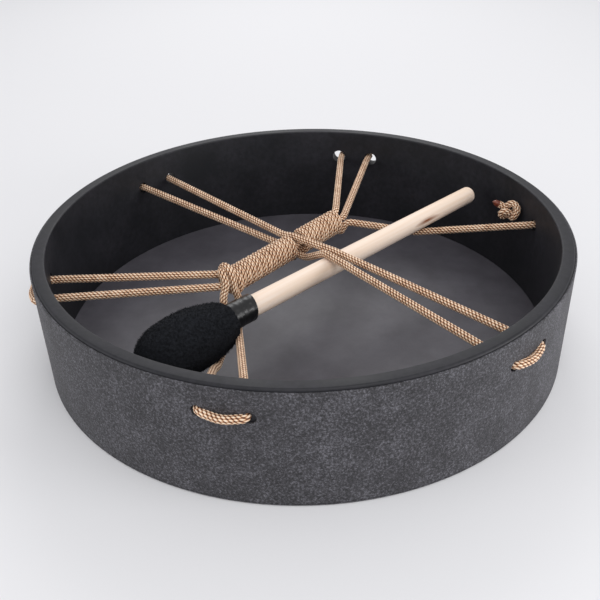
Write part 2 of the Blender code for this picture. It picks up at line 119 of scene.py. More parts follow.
def plug(tree: bpy.types.NodeTree, node: bpy.types.Node, inputs: dict) -> None:
    """Sets a node's inputs to values, or links them.

    Args:
        tree: the node tree.
        node: the node.
        inputs: value, or output socket to link, for each input name or index.
    """
    for key, value in inputs.items():
        if isinstance(value, bpy.types.NodeSocket):
            tree.links.new(value, node.inputs[key])
        else:
            node.inputs[key].default_value = value


def add_node(tree: bpy.types.NodeTree, kind: str, inputs: dict | None = None,
             **settings: object) -> bpy.types.Node:
    """Adds a node with its settings, values and links.

    Args:
        tree: the material's or the world's node tree.
        kind: the node type's identifier.
        inputs: value, or output socket to link, for each input name or index.
        **settings: attributes of the node itself.

    Returns:
        The new node.
    """
    node = tree.nodes.new(kind)
    for name, value in settings.items():
        setattr(node, name, value)
    plug(tree, node, inputs or {})
    return node


def colour_ramp(tree: bpy.types.NodeTree, factor: bpy.types.NodeSocket,
                stops: Sequence[tuple[float, str]]) -> bpy.types.NodeSocket:
    """Adds a colour ramp.

    Args:
        tree: the node tree.
        factor: socket that drives the ramp.
        stops: place and sRGB hex colour of each stop, in order.

    Returns:
        The ramp's colour output.
    """
    ramp = add_node(tree, "ShaderNodeValToRGB", {"Fac": factor})
    elements = ramp.color_ramp.elements
    while len(elements) < len(stops):
        elements.new(0.5)
    for element, (place, colour) in zip(elements, stops):
        element.position = place
        element.color = srgb(colour)
    return ramp.outputs["Color"]


def new_material(name: str) -> tuple[bpy.types.Material, bpy.types.Node, bpy.types.NodeTree]:
    """Makes a material with a bare Principled shader.

    Args:
        name: the material's name.

    Returns:
        The material, its Principled shader and its node tree.
    """
    material = bpy.data.materials.new(name)
    material.use_nodes = True
    tree = material.node_tree
    return material, tree.nodes["Principled BSDF"], tree


def per_metre(size_mm: float) -> float:
    """Pattern scale at which a feature has the given size in millimetres."""
    return 1000.0 / size_mm


@dataclass(frozen=True)
class Relief:
    """How strongly a pattern dents a surface, and how deep in metres."""

    strength: float
    depth: float


@dataclass(frozen=True)
class PaintedHoop:
    """Flat black lacquer brushed on a bent hoop: dull, with dust and rubbed edges."""

    colour: str = "#18191D"
    rubbed_colour: str = "#29282E"
    smoothest: float = 0.46
    roughest: float = 0.60
    specular: float = 0.35
    brush_mark_mm: float = 4.4
    cloud_mm: float = 45.4545
    relief: Relief = Relief(0.25, 0.0003)

    def build(self) -> bpy.types.Material:
        """Makes the lacquer.

        Returns:
            The material.
        """
        material, shader, tree = new_material("flat_black_lacquer")
        place = add_node(tree, "ShaderNodeTexCoord").outputs["Object"]
        marks = add_node(tree, "ShaderNodeTexNoise",
                         {"Vector": place, "Scale": per_metre(self.brush_mark_mm),
                          "Detail": 6.0, "Roughness": 0.6}).outputs["Fac"]
        clouds = add_node(tree, "ShaderNodeTexNoise",
                          {"Vector": place, "Scale": per_metre(self.cloud_mm),
                           "Detail": 4.0}).outputs["Fac"]
        wear = add_node(tree, "ShaderNodeMath", {0: marks, 1: clouds}, operation="MULTIPLY")
        rough = add_node(tree, "ShaderNodeMapRange",
                         {"Value": clouds, "From Min": 0.3, "From Max": 0.7,
                          "To Min": self.smoothest, "To Max": self.roughest})
        bump = add_node(tree, "ShaderNodeBump", {"Height": marks, "Strength": self.relief.strength,
                                                 "Distance": self.relief.depth})
        plug(tree, shader, {
            "Base Color": colour_ramp(tree, wear.outputs[0], [(0.16, self.colour),
                                                              (0.42, self.rubbed_colour)]),
            "Roughness": rough.outputs["Result"], "Specular IOR Level": self.specular,
            "Normal": bump.outputs["Normal"]})
        return material


@dataclass(frozen=True)
class TexturedCovering:
    """Pebbled vinyl with a flecked grey print, glued round the hoop and over the head.

    The real pebbles are about 0.5 mm, and they are drawn coarser so that they show.
    """

    dark: str = "#161518"
    mid: str = "#343337"
    spot: str = "#737279"
    pebble_mm: float = 0.85
    grain_of_pebble: float = 0.55
    cloud_mm: float = 22.2222
    cloud_share: float = 0.035
    roughness: float = 0.62
    relief: Relief = Relief(0.45, 0.0005)

    def build(self) -> bpy.types.Material:
        """Makes the covering.

        Returns:
            The material.
        """
        material, shader, tree = new_material("pebbled_vinyl")
        place = add_node(tree, "ShaderNodeTexCoord").outputs["Object"]
        pebble_scale = per_metre(self.pebble_mm)
        pebbles = add_node(tree, "ShaderNodeTexVoronoi",
                           {"Vector": place, "Scale": pebble_scale, "Randomness": 1.0},
                           feature="F1")
        grain = add_node(tree, "ShaderNodeTexNoise",
                         {"Vector": place, "Scale": pebble_scale * self.grain_of_pebble,
                          "Detail": 5.0, "Roughness": 0.85}).outputs["Fac"]
        clouds = add_node(tree, "ShaderNodeTexNoise",
                          {"Vector": place, "Scale": per_metre(self.cloud_mm), "Detail": 5.0,
                           "Roughness": 0.6})
        shift = add_node(tree, "ShaderNodeMapRange",
                         {"Value": clouds.outputs["Fac"], "From Min": 0.3, "From Max": 0.7,
                          "To Min": -self.cloud_share, "To Max": self.cloud_share})
        flecks = add_node(tree, "ShaderNodeMath", {0: grain, 1: shift.outputs["Result"]},
                          operation="ADD")
        height = add_node(tree, "ShaderNodeMath", {0: pebbles.outputs["Distance"], 1: grain},
                          operation="SUBTRACT")
        bump = add_node(tree, "ShaderNodeBump",
                        {"Height": height.outputs[0], "Strength": self.relief.strength,
                         "Distance": self.relief.depth})
        plug(tree, shader, {
            "Base Color": colour_ramp(tree, flecks.outputs[0], [
                (0.36, self.dark), (0.50, self.mid), (0.66, self.spot)]),
            "Roughness": self.roughness, "Normal": bump.outputs["Normal"]})
        return material


@dataclass(frozen=True)
class StrikingFilm:
    """Coated polyester film of the head, seen from behind: dull, with faint swirls of dust."""

    colour: str = "#4B494F"
    dust: str = "#5A585F"
    roughness: float = 0.48
    swirl_mm: float = 41.6667
    grit_mm: float = 1.11111
    relief: Relief = Relief(0.2, 0.0002)

    def build(self) -> bpy.types.Material:
        """Makes the film.

        Returns:
            The material.
        """
        material, shader, tree = new_material("coated_polyester_film")
        place = add_node(tree, "ShaderNodeTexCoord").outputs["Object"]
        swirls = add_node(tree, "ShaderNodeTexNoise",
                          {"Vector": place, "Scale": per_metre(self.swirl_mm), "Detail": 9.0,
                           "Roughness": 0.72})
        grit = add_node(tree, "ShaderNodeTexNoise",
                        {"Vector": place, "Scale": per_metre(self.grit_mm), "Detail": 3.0})
        bump = add_node(tree, "ShaderNodeBump",
                        {"Height": grit.outputs["Fac"], "Strength": self.relief.strength,
                         "Distance": self.relief.depth})
        plug(tree, shader, {
            "Base Color": colour_ramp(tree, swirls.outputs["Fac"], [(0.38, self.colour),
                                                                    (0.64, self.dust)]),
            "Roughness": self.roughness, "Normal": bump.outputs["Normal"]})
        return material


@dataclass(frozen=True)
class BraidedCord:
    """Solid-braid cotton cord, waxed tan, with painted shade in the gaps between stitches and
    painted highlights on their crowns.
    """

    # Colours by the stitches' height: gap and side are painted shade in the recesses, body is the
    # cord's own tan, crown is a painted highlight.
    gap: str = "#2C1408"
    side: str = "#935C38"
    body: str = "#DDB48E"
    crown: str = "#FAE6CE"
    roughness: float = 0.78
    sheen: float = 0.15
    wear_mm: float = 7.14286
    wear_share: float = 0.10
    fibre_length_mm: float = 1.66667
    fibre_width_mm: float = 0.25
    relief: Relief = Relief(0.3, 0.0001)

    def build(self) -> bpy.types.Material:
        """Makes the cord.

        Returns:
            The material.
        """
        material, shader, tree = new_material("waxed_cotton_cord")
        stitch = add_node(tree, "ShaderNodeAttribute", attribute_name="stitch_height")
        place = add_node(tree, "ShaderNodeTexCoord")
        worn = add_node(tree, "ShaderNodeTexNoise",
                        {"Vector": place.outputs["Object"], "Scale": per_metre(self.wear_mm),
                         "Detail": 4.0})
        shift = add_node(tree, "ShaderNodeMapRange",
                         {"Value": worn.outputs["Fac"], "From Min": 0.3, "From Max": 0.7,
                          "To Min": -self.wear_share, "To Max": self.wear_share})
        depth = add_node(tree, "ShaderNodeMath",
                         {0: stitch.outputs["Fac"], 1: shift.outputs["Result"]}, operation="ADD")
        unit_mm = UV_UNIT * 1000.0
        stretch = add_node(tree, "ShaderNodeMapping",
                           {"Vector": place.outputs["UV"],
                            "Scale": (unit_mm / self.fibre_length_mm,
                                      unit_mm / self.fibre_width_mm, 1.0)})
        fibre = add_node(tree, "ShaderNodeTexNoise",
                         {"Vector": stretch.outputs["Vector"], "Scale": 1.0, "Detail": 3.0})
        bump = add_node(tree, "ShaderNodeBump",
                        {"Height": fibre.outputs["Fac"], "Strength": self.relief.strength,
                         "Distance": self.relief.depth})
        # Base colour from the stitches' height: painted shade in the gaps and on the stitch sides,
        # painted highlight on the crowns.
        plug(tree, shader, {
            "Base Color": colour_ramp(tree, depth.outputs[0], [
                (0.12, self.gap), (0.42, self.side), (0.66, self.body), (0.95, self.crown)]),
            "Roughness": self.roughness, "Sheen Weight": self.sheen,
            "Normal": bump.outputs["Normal"]})
        return material


@dataclass(frozen=True)
class TurnedMaple:
    """Maple dowel under clear lacquer: pale, with fine grain along it, and a painted shadow where
    a rope passes under the shaft.

    Its patterns are sized across the shaft both ways and then along it.
    """

    pale: str = "#F6E3D3"
    warm: str = "#EFD6BF"
    # Colour of the painted shadow of the rope that passes under the shaft.
    spot: str = "#84481F"
    roughness: float = 0.55
    specular: float = 0.35
    grain_mm: Place = (3.125, 3.125, 111.111)
    band_mm: Place = (14.2857, 14.2857, 166.667)
    # Size of the painted rope shadow, across the shaft both ways and along it.
    rope_shadow_mm: Place = (2.32558, 2.32558, 16.129)
    relief: Relief = Relief(0.12, 0.0002)

    def build(self, along: Matrix, rope_shadow_at: Vector) -> bpy.types.Material:
        """Makes the wood.

        Args:
            along: matrix whose Z axis is the shaft's.
            rope_shadow_at: where the painted shadow of the rope that passes under the shaft lies,
                in the shaft's own frame.

        Returns:
            The material.
        """
        material, shader, tree = new_material("lacquered_maple")
        place = add_node(tree, "ShaderNodeTexCoord").outputs["Object"]
        turned = add_node(tree, "ShaderNodeMapping",
                          {"Vector": place, "Location": along.to_translation(),
                           "Rotation": along.to_euler()}, vector_type="TEXTURE").outputs["Vector"]
        # Painted shadow of the rope that passes under the shaft: a dark patch round the given
        # place, with a ragged edge from the grain.
        from_rope_shadow = add_node(tree, "ShaderNodeVectorMath", {0: turned, 1: rope_shadow_at},
                              operation="SUBTRACT")
        stretched = [add_node(tree, "ShaderNodeMapping",
                              {"Vector": vector, "Scale": [per_metre(size) for size in sizes]})
                     for vector, sizes in ((turned, self.grain_mm), (turned, self.band_mm),
                                           (from_rope_shadow.outputs["Vector"], self.rope_shadow_mm))]
        grain = add_node(tree, "ShaderNodeTexNoise",
                         {"Vector": stretched[0].outputs["Vector"], "Scale": 1.0, "Detail": 5.0,
                          "Roughness": 0.6}).outputs["Fac"]
        bands = add_node(tree, "ShaderNodeTexNoise",
                         {"Vector": stretched[1].outputs["Vector"], "Scale": 1.0, "Detail": 2.0})
        blend = add_node(tree, "ShaderNodeMath", {0: grain, 1: bands.outputs["Fac"]},
                         operation="MULTIPLY")
        away = add_node(tree, "ShaderNodeVectorMath", {0: stretched[2].outputs["Vector"]},
                        operation="LENGTH")
        edge = add_node(tree, "ShaderNodeMath", {0: away.outputs["Value"], 1: grain},
                        operation="ADD")
        share = add_node(tree, "ShaderNodeMapRange",
                         {"Value": edge.outputs[0], "From Min": 0.65, "From Max": 1.5,
                          "To Min": 1.0, "To Max": 0.0})
        plain = colour_ramp(tree, blend.outputs[0], [(0.14, self.warm), (0.30, self.pale)])
        # Mixes the painted rope shadow into the wood's colour.
        mix = add_node(tree, "ShaderNodeMix",
                       {"Factor": share.outputs["Result"], 6: plain, 7: srgb(self.spot)},
                       data_type="RGBA")
        bump = add_node(tree, "ShaderNodeBump", {"Height": grain, "Strength": self.relief.strength,
                                                 "Distance": self.relief.depth})
        plug(tree, shader, {
            "Base Color": mix.outputs[2], "Roughness": self.roughness,
            "Specular IOR Level": self.specular, "Normal": bump.outputs["Normal"]})
        return material


@dataclass(frozen=True)
class VinylTape:
    """Glossy black PVC tape, stretched on by hand, so that it creases and shines."""

    colour: str = "#0C0C0E"
    roughness: float = 0.31
    crease_mm: float = 5.88235
    relief: Relief = Relief(0.3, 0.0006)

    def build(self) -> bpy.types.Material:
        """Makes the tape.

        Returns:
            The material.
        """
        material, shader, tree = new_material("black_pvc_tape")
        place = add_node(tree, "ShaderNodeTexCoord").outputs["Object"]
        creases = add_node(tree, "ShaderNodeTexNoise",
                           {"Vector": place, "Scale": per_metre(self.crease_mm), "Detail": 2.0,
                            "Distortion": 0.6})
        bump = add_node(tree, "ShaderNodeBump",
                        {"Height": creases.outputs["Fac"], "Strength": self.relief.strength,
                         "Distance": self.relief.depth})
        plug(tree, shader, {"Base Color": srgb(self.colour), "Roughness": self.roughness,
                            "Normal": bump.outputs["Normal"]})
        return material


@dataclass(frozen=True)
class BlackFleece:
    """Knitted acrylic fleece, black, with painted shade where its pile is low and a painted
    highlight where it stands up.
    """

    # root is painted shade low in the pile and tip a painted highlight on its raised parts; one
    # noise sets both the colour and the bump.
    root: str = "#0F1013"
    tip: str = "#25272C"
    roughness: float = 0.95
    specular: float = 0.15
    pile_mm: float = 1.6129
    relief: Relief = Relief(0.6, 0.0009)

    def build(self) -> bpy.types.Material:
        """Makes the fleece.

        Returns:
            The material.
        """
        material, shader, tree = new_material("black_acrylic_fleece")
        place = add_node(tree, "ShaderNodeTexCoord").outputs["Object"]
        pile = add_node(tree, "ShaderNodeTexNoise",
                        {"Vector": place, "Scale": per_metre(self.pile_mm), "Detail": 5.0,
                         "Roughness": 0.7}).outputs["Fac"]
        bump = add_node(tree, "ShaderNodeBump", {"Height": pile, "Strength": self.relief.strength,
                                                 "Distance": self.relief.depth})
        # Painted shade where the pile is low and a painted highlight where it is high.
        plug(tree, shader, {
            "Base Color": colour_ramp(tree, pile, [(0.35, self.root), (0.70, self.tip)]),
            "Roughness": self.roughness, "Specular IOR Level": self.specular,
            "Normal": bump.outputs["Normal"]})
        return material


@dataclass(frozen=True)
class MeltedTip:
    """Cord end sealed with a flame: the fibres have run into a smooth red-brown bead."""

    colour: str = "#7A3A26"
    charred: str = "#4A2016"
    roughness: float = 0.35
    char_mm: float = 2.0

    def build(self) -> bpy.types.Material:
        """Makes the bead.

        Returns:
            The material.
        """
        material, shader, tree = new_material("melted_cord_end")
        place = add_node(tree, "ShaderNodeTexCoord").outputs["Object"]
        char = add_node(tree, "ShaderNodeTexNoise",
                        {"Vector": place, "Scale": per_metre(self.char_mm)})
        plug(tree, shader, {
            "Base Color": colour_ramp(tree, char.outputs["Fac"], [(0.3, self.charred),
                                                                  (0.65, self.colour)]),
            "Roughness": self.roughness})
        return material


@dataclass(frozen=True)
class DenseFoam:
    """Dense foam of the mallet's head, under the fleece: charcoal, with small open cells."""

    colour: str = "#3A3A3A"
    cell_colour: str = "#1E1E1E"
    roughness: float = 0.9
    cell_mm: float = 0.83333
    relief: Relief = Relief(0.5, 0.0004)

    def build(self) -> bpy.types.Material:
        """Makes the foam.

        Returns:
            The material.
        """
        material, shader, tree = new_material("dense_foam")
        place = add_node(tree, "ShaderNodeTexCoord").outputs["Object"]
        cells = add_node(tree, "ShaderNodeTexVoronoi",
                         {"Vector": place, "Scale": per_metre(self.cell_mm)}).outputs["Distance"]
        bump = add_node(tree, "ShaderNodeBump", {"Height": cells, "Strength": self.relief.strength,
                                                 "Distance": self.relief.depth})
        plug(tree, shader, {
            "Base Color": colour_ramp(tree, cells, [(0.1, self.colour), (0.7, self.cell_colour)]),
            "Roughness": self.roughness, "Normal": bump.outputs["Normal"]})
        return material


# Shapes


def made_mesh(shape: bmesh.types.BMesh, name: str) -> bpy.types.Mesh:
    """Turns a bmesh into a mesh, and frees it.

    Args:
        shape: the bmesh.
        name: the mesh's name.

    Returns:
        The new mesh.
    """
    mesh = bpy.data.meshes.new(name)
    shape.to_mesh(mesh)
    shape.free()
    return mesh


def finish_piece(name: str, mesh: bpy.types.Mesh, material: bpy.types.Material, body: str,
                 replaces: Sequence[str] = (), sharp_degrees: float = 180.0,
                 ) -> bpy.types.Object:
    """Links a finished mesh to the scene as a piece of the object.

    Args:
        name: the piece's name.
        mesh: its mesh, already in place.
        material: its finish.
        body: the CAD body that it rides on.
        replaces: CAD nodes that the piece stands for.
        sharp_degrees: edges that turn by more than this are drawn sharp.

    Returns:
        The new object.
    """
    mesh.shade_smooth()
    if sharp_degrees < 180.0:
        mesh.set_sharp_from_angle(angle=math.radians(sharp_degrees))
    mesh.materials.clear()
    mesh.materials.append(material)
    piece = bpy.data.objects.new(name, mesh)
    bpy.context.scene.collection.objects.link(piece)
    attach(piece, body)
    if replaces:
        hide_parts(*replaces)
    log.info("%s: %d faces", name, len(mesh.polygons))
    return piece


def spun_mesh(name: str, profile: Sequence[tuple[float, float]], segments: int) -> bpy.types.Mesh:
    """Spins a profile round the Z axis into a closed mesh.

    Args:
        name: the mesh's name.
        profile: (radius, height) points. One that starts on the axis ends there too, and any
            other is closed on itself.
        segments: number of steps round the axis.

    Returns:
        The mesh, with its faces pointing outwards.
    """
    shape = bmesh.new()
    corners = [shape.verts.new((radius, 0.0, height)) for radius, height in profile]
    edges = [shape.edges.new(pair) for pair in zip(corners, corners[1:])]
    if profile[0][0] > 0.0:
        edges.append(shape.edges.new((corners[-1], corners[0])))
    bmesh.ops.spin(shape, geom=corners + edges, cent=(0, 0, 0), axis=(0, 0, 1), dvec=(0, 0, 0),
                   angle=2 * math.pi, steps=segments, use_merge=True)
    bmesh.ops.remove_doubles(shape, verts=shape.verts, dist=MERGE)
    bmesh.ops.recalc_face_normals(shape, faces=shape.faces)
    return made_mesh(shape, name)


def profile_arc(centre: tuple[float, float], radius: float, start: float, end: float,
                steps: int) -> list[tuple[float, float]]:
    """Points of an arc in a profile.

    Args:
        centre: radius and height of the arc's centre.
        radius: the arc's radius.
        start: first angle in degrees.
        end: last angle in degrees.
        steps: number of steps between them.

    Returns:
        The points in order.
    """
    angles = [math.radians(start + (end - start) * i / steps) for i in range(steps + 1)]
    return [(centre[0] + radius * math.cos(a), centre[1] + radius * math.sin(a)) for a in angles]


def cut_holes(mesh: bpy.types.Mesh, cutter: bpy.types.Mesh) -> bpy.types.Mesh:
    """Cuts a closed shape out of a mesh.

    Args:
        mesh: the mesh to cut.
        cutter: the shape to take away.

    Returns:
        The cut mesh.
    """
    target = bpy.data.objects.new("cut_target", mesh)
    tool = bpy.data.objects.new("cut_tool", cutter)
    for item in (target, tool):
        bpy.context.scene.collection.objects.link(item)
    cut = target.modifiers.new("holes", "BOOLEAN")
    cut.operation = "DIFFERENCE"
    cut.solver = "EXACT"
    cut.object = tool
    bpy.context.view_layer.update()
    evaluated = target.evaluated_get(bpy.context.evaluated_depsgraph_get())
    made = bpy.data.meshes.new_from_object(evaluated)
    made.name = mesh.name
    for item in (target, tool):
        bpy.data.objects.remove(item)
    return made


# Rope


@dataclass(frozen=True)
class SolidBraid:
    """Solid-braid cord: rows of stitches along it, each leaning over the next row's.

    Its sizes are in metres. The rows run straight along the cord, and each row's stitches
    start nearly half a stitch after its neighbour's, so that the gaps show as short dashes.
    """

    rows: int = 9
    stitch_length: float = 0.0030
    stitch_reach: float = 0.64  # half a stitch's length, in stitches
    stitch_width: float = 0.52  # half its width, in rows
    stagger: float = 4 / 9
    lean: float = 0.50
    fullness: float = 0.8
    relief: float = 0.00060
    girth: float = 0.0188
    ring_spacing: float = 0.00052
    points_per_row: int = 4

    def relief_at(self, along: np.ndarray, turn: np.ndarray) -> np.ndarray:
        """Height of the braid's surface.

        Args:
            along: distance along the cord.
            turn: place round it, from 0 to 1.

        Returns:
            Height from 0 in a gap to 1 on a stitch's crown.
        """
        row = turn * self.rows
        base = np.floor(row)
        best = np.zeros_like(row)
        for neighbour in (-1, 0, 1):
            across = row - (base + neighbour) - 0.5
            phase = along / self.stitch_length + (base + neighbour) * self.stagger
            whole = np.floor(phase)
            for step in (-1, 0, 1):
                ahead = phase - (whole + step) - 0.5
                leaning = across - self.lean * ahead
                crown = (1.0 - (leaning / self.stitch_width) ** 2
                         - (ahead / self.stitch_reach) ** 2)
                best = np.maximum(best, crown)
        return np.clip(best, 0.0, 1.0) ** self.fullness

    def mesh_along(self, name: str, route: Sequence[Vector],
                   radius_at: RadiusAlong) -> bpy.types.Mesh:
        """Makes the cord along a route.

        Args:
            name: the mesh's name.
            route: points close enough together to draw the route smoothly.
            radius_at: cord radius for an array of distances along the route.

        Returns:
            A closed mesh with a UV map along the cord and its stitches' heights.
        """
        points, along = resampled(route, self.ring_spacing)
        normals, binormals = carried_frame(points)
        rings, sides = len(points), self.rows * self.points_per_row
        mesh = unrolled_sheet(name, rings - 1, sides)
        flat = np.empty(len(mesh.vertices) * 3)
        mesh.vertices.foreach_get("co", flat)
        flat = flat.reshape(-1, 3)
        ring = np.rint((flat[:, 0] + 0.5) * (rings - 1)).astype(int)
        turn = np.rint((flat[:, 1] + 0.5) * sides) / sides
        height = self.relief_at(along[ring], turn % 1.0)
        radius = radius_at(along[ring]) - self.relief * (1.0 - height)
        angle = 2 * math.pi * turn
        place = (points[ring] + normals[ring] * (radius * np.cos(angle))[:, None]
                 + binormals[ring] * (radius * np.sin(angle))[:, None])
        mesh.vertices.foreach_set("co", place.ravel())
        stitch = mesh.attributes.new("stitch_height", "FLOAT", "POINT")
        stitch.data.foreach_set("value", height)
        uv = np.empty(len(mesh.loops) * 2)
        mesh.uv_layers[0].data.foreach_get("uv", uv)
        uv = uv.reshape(-1, 2) * (along[-1] / UV_UNIT, self.girth / UV_UNIT)
        mesh.uv_layers[0].data.foreach_set("uv", uv.ravel())
        return closed_tube(mesh)


def unrolled_sheet(name: str, along: int, sides: int) -> bpy.types.Mesh:
    """Flat grid that is later rolled into a tube.

    Args:
        name: the mesh's name.
        along: number of faces along the tube.
        sides: number of faces round it.

    Returns:
        A grid from -0.5 to 0.5 both ways, with a UV map from 0 to 1.
    """
    shape = bmesh.new()
    shape.loops.layers.uv.new("UVMap")
    bmesh.ops.create_grid(shape, x_segments=along, y_segments=sides, size=0.5, calc_uvs=True)
    return made_mesh(shape, name)


def closed_tube(mesh: bpy.types.Mesh) -> bpy.types.Mesh:
    """Joins a rolled sheet's seam, closes its ends and turns its faces outwards.

    Args:
        mesh: the sheet, with its vertices already round the tube.

    Returns:
        The same mesh, closed.
    """
    shape = bmesh.new()
    shape.from_mesh(mesh)
    bmesh.ops.remove_doubles(shape, verts=shape.verts, dist=MERGE / 10)
    bmesh.ops.holes_fill(shape, edges=[e for e in shape.edges if e.is_boundary], sides=0)
    bmesh.ops.recalc_face_normals(shape, faces=shape.faces)
    shape.to_mesh(mesh)
    shape.free()
    return mesh


def resampled(route: Sequence[Vector], spacing: float) -> tuple[np.ndarray, np.ndarray]:
    """Points at an even spacing along a route.

    Args:
        route: the route's points.
        spacing: wanted distance between the new points.

    Returns:
        The points as rows, and the distance along the route at each.
    """
    points = np.array([tuple(p) for p in route])
    steps = np.linalg.norm(np.diff(points, axis=0), axis=1)
    points = points[np.concatenate([[True], steps > 1e-9])]
    steps = steps[steps > 1e-9]
    travelled = np.concatenate([[0.0], np.cumsum(steps)])
    count = max(3, round(travelled[-1] / spacing) + 1)
    along = np.linspace(0.0, travelled[-1], count)
    made = np.stack([np.interp(along, travelled, points[:, i]) for i in range(3)], axis=1)
    for _ in range(4):
        made[1:-1] = 0.25 * made[:-2] + 0.5 * made[1:-1] + 0.25 * made[2:]
    return made, along


def carried_frame(points: np.ndarray) -> tuple[np.ndarray, np.ndarray]:
    """Directions across a route that turn as little as the route allows.

    Args:
        points: the route's points as rows.

    Returns:
        Two unit directions across the route at each point.
    """
    tangents = np.gradient(points, axis=0)
    tangents /= np.linalg.norm(tangents, axis=1)[:, None]
    start = np.array([0.0, 0.0, 1.0])
    if abs(tangents[0] @ start) > 0.9:
        start = np.array([1.0, 0.0, 0.0])
    normal = start - tangents[0] * (tangents[0] @ start)
    normals = []
    for tangent in tangents:
        normal = normal - tangent * (tangent @ normal)
        normal = normal / np.linalg.norm(normal)
        normals.append(normal)
    normals = np.array(normals)
    return normals, np.cross(tangents, normals)


def eased(corners: Sequence[Vector], reach: float, steps: int = 12) -> list[Vector]:
    """Replaces each corner of a route by a short curve.

    Args:
        corners: the route's corners.
        reach: how far from a corner its curve starts and ends.
        steps: number of steps in each curve.

    Returns:
        The eased route.
    """
    made = [corners[0]]
    for before, corner, after in zip(corners, corners[1:], corners[2:]):
        back, forward = before - corner, after - corner
        if back.angle(-forward) < math.radians(0.5):
            made.append(corner)
            continue
        start = corner + back.normalized() * min(reach, 0.48 * back.length)
        end = corner + forward.normalized() * min(reach, 0.48 * forward.length)
        for i in range(steps + 1):
            t = i / steps
            made.append(start * (1 - t) ** 2 + corner * (2 * t * (1 - t)) + end * t ** 2)
    made.append(corners[-1])
    return made


def around(azimuth: float, radius: float, height: float) -> Vector:
    """Point at an azimuth in degrees and a radius from the drum's axis."""
    angle = math.radians(azimuth)
    return Vector((radius * math.cos(angle), radius * math.sin(angle), height))


def path_length(points: Sequence[Vector]) -> float:
    """Length of a route through its points."""
    return sum((b - a).length for a, b in zip(points, points[1:]))


# Drum


@dataclass(frozen=True)
class HolePair:
    """Two holes through the hoop, side by side, and the two in the covering over them."""

    azimuth: float
    below_rim: float
    radius: float = 0.0050
    covering_radius: float = 0.0050
    covering_turn: float = 0.0  # degrees from the hoop's holes to the covering's


@dataclass(frozen=True)
class HoopSizes:
    """Sizes that the hoop shares with the head, the covering and the rope."""

    outer_radius: float = 0.2032
    wall: float = 0.0095
    depth: float = 0.0889
    cover_thickness: float = 0.0020
    film_thickness: float = 0.0005
    covering_thickness: float = 0.0012
    hole_spacing: float = 9.2
    pairs: dict[str, HolePair] = field(default_factory=lambda: {
        "back_left": HolePair(133.8, 0.0250),
        "back": HolePair(73.7, 0.0250, 0.0060, 0.0060),
        "right": HolePair(14.4, 0.0250),
        "front_right": HolePair(314.1, 0.0230, 0.0050, 0.0040),
        "front_left": HolePair(254.6, 0.0210, 0.0050, 0.0040, 1.2),
        "left": HolePair(193.8, 0.0250),
    })

    @property
    def film_bottom(self) -> float:
        """Height of the striking film's underside."""
        return self.cover_thickness + SEAT

    @property
    def bottom(self) -> float:
        """Height of the hoop's lower edge."""
        return self.film_bottom + self.film_thickness + SEAT

    @property
    def top(self) -> float:
        """Height of the rim."""
        return self.bottom + self.depth

    @property
    def inner_radius(self) -> float:
        """Radius of the hoop's inside wall."""
        return self.outer_radius - self.wall

    @property
    def covering_outer_radius(self) -> float:
        """Radius of the side covering's outside."""
        return self.outer_radius + SEAT + self.covering_thickness

    def hole_height(self, pair: str) -> float:
        """Height of a pair's holes above the floor."""
        return self.top - self.pairs[pair].below_rim

    def hole_azimuth(self, pair: str, side: Side) -> float:
        """Azimuth of one hole of a pair, in degrees."""
        return self.pairs[pair].azimuth + side.value * self.hole_spacing / 2


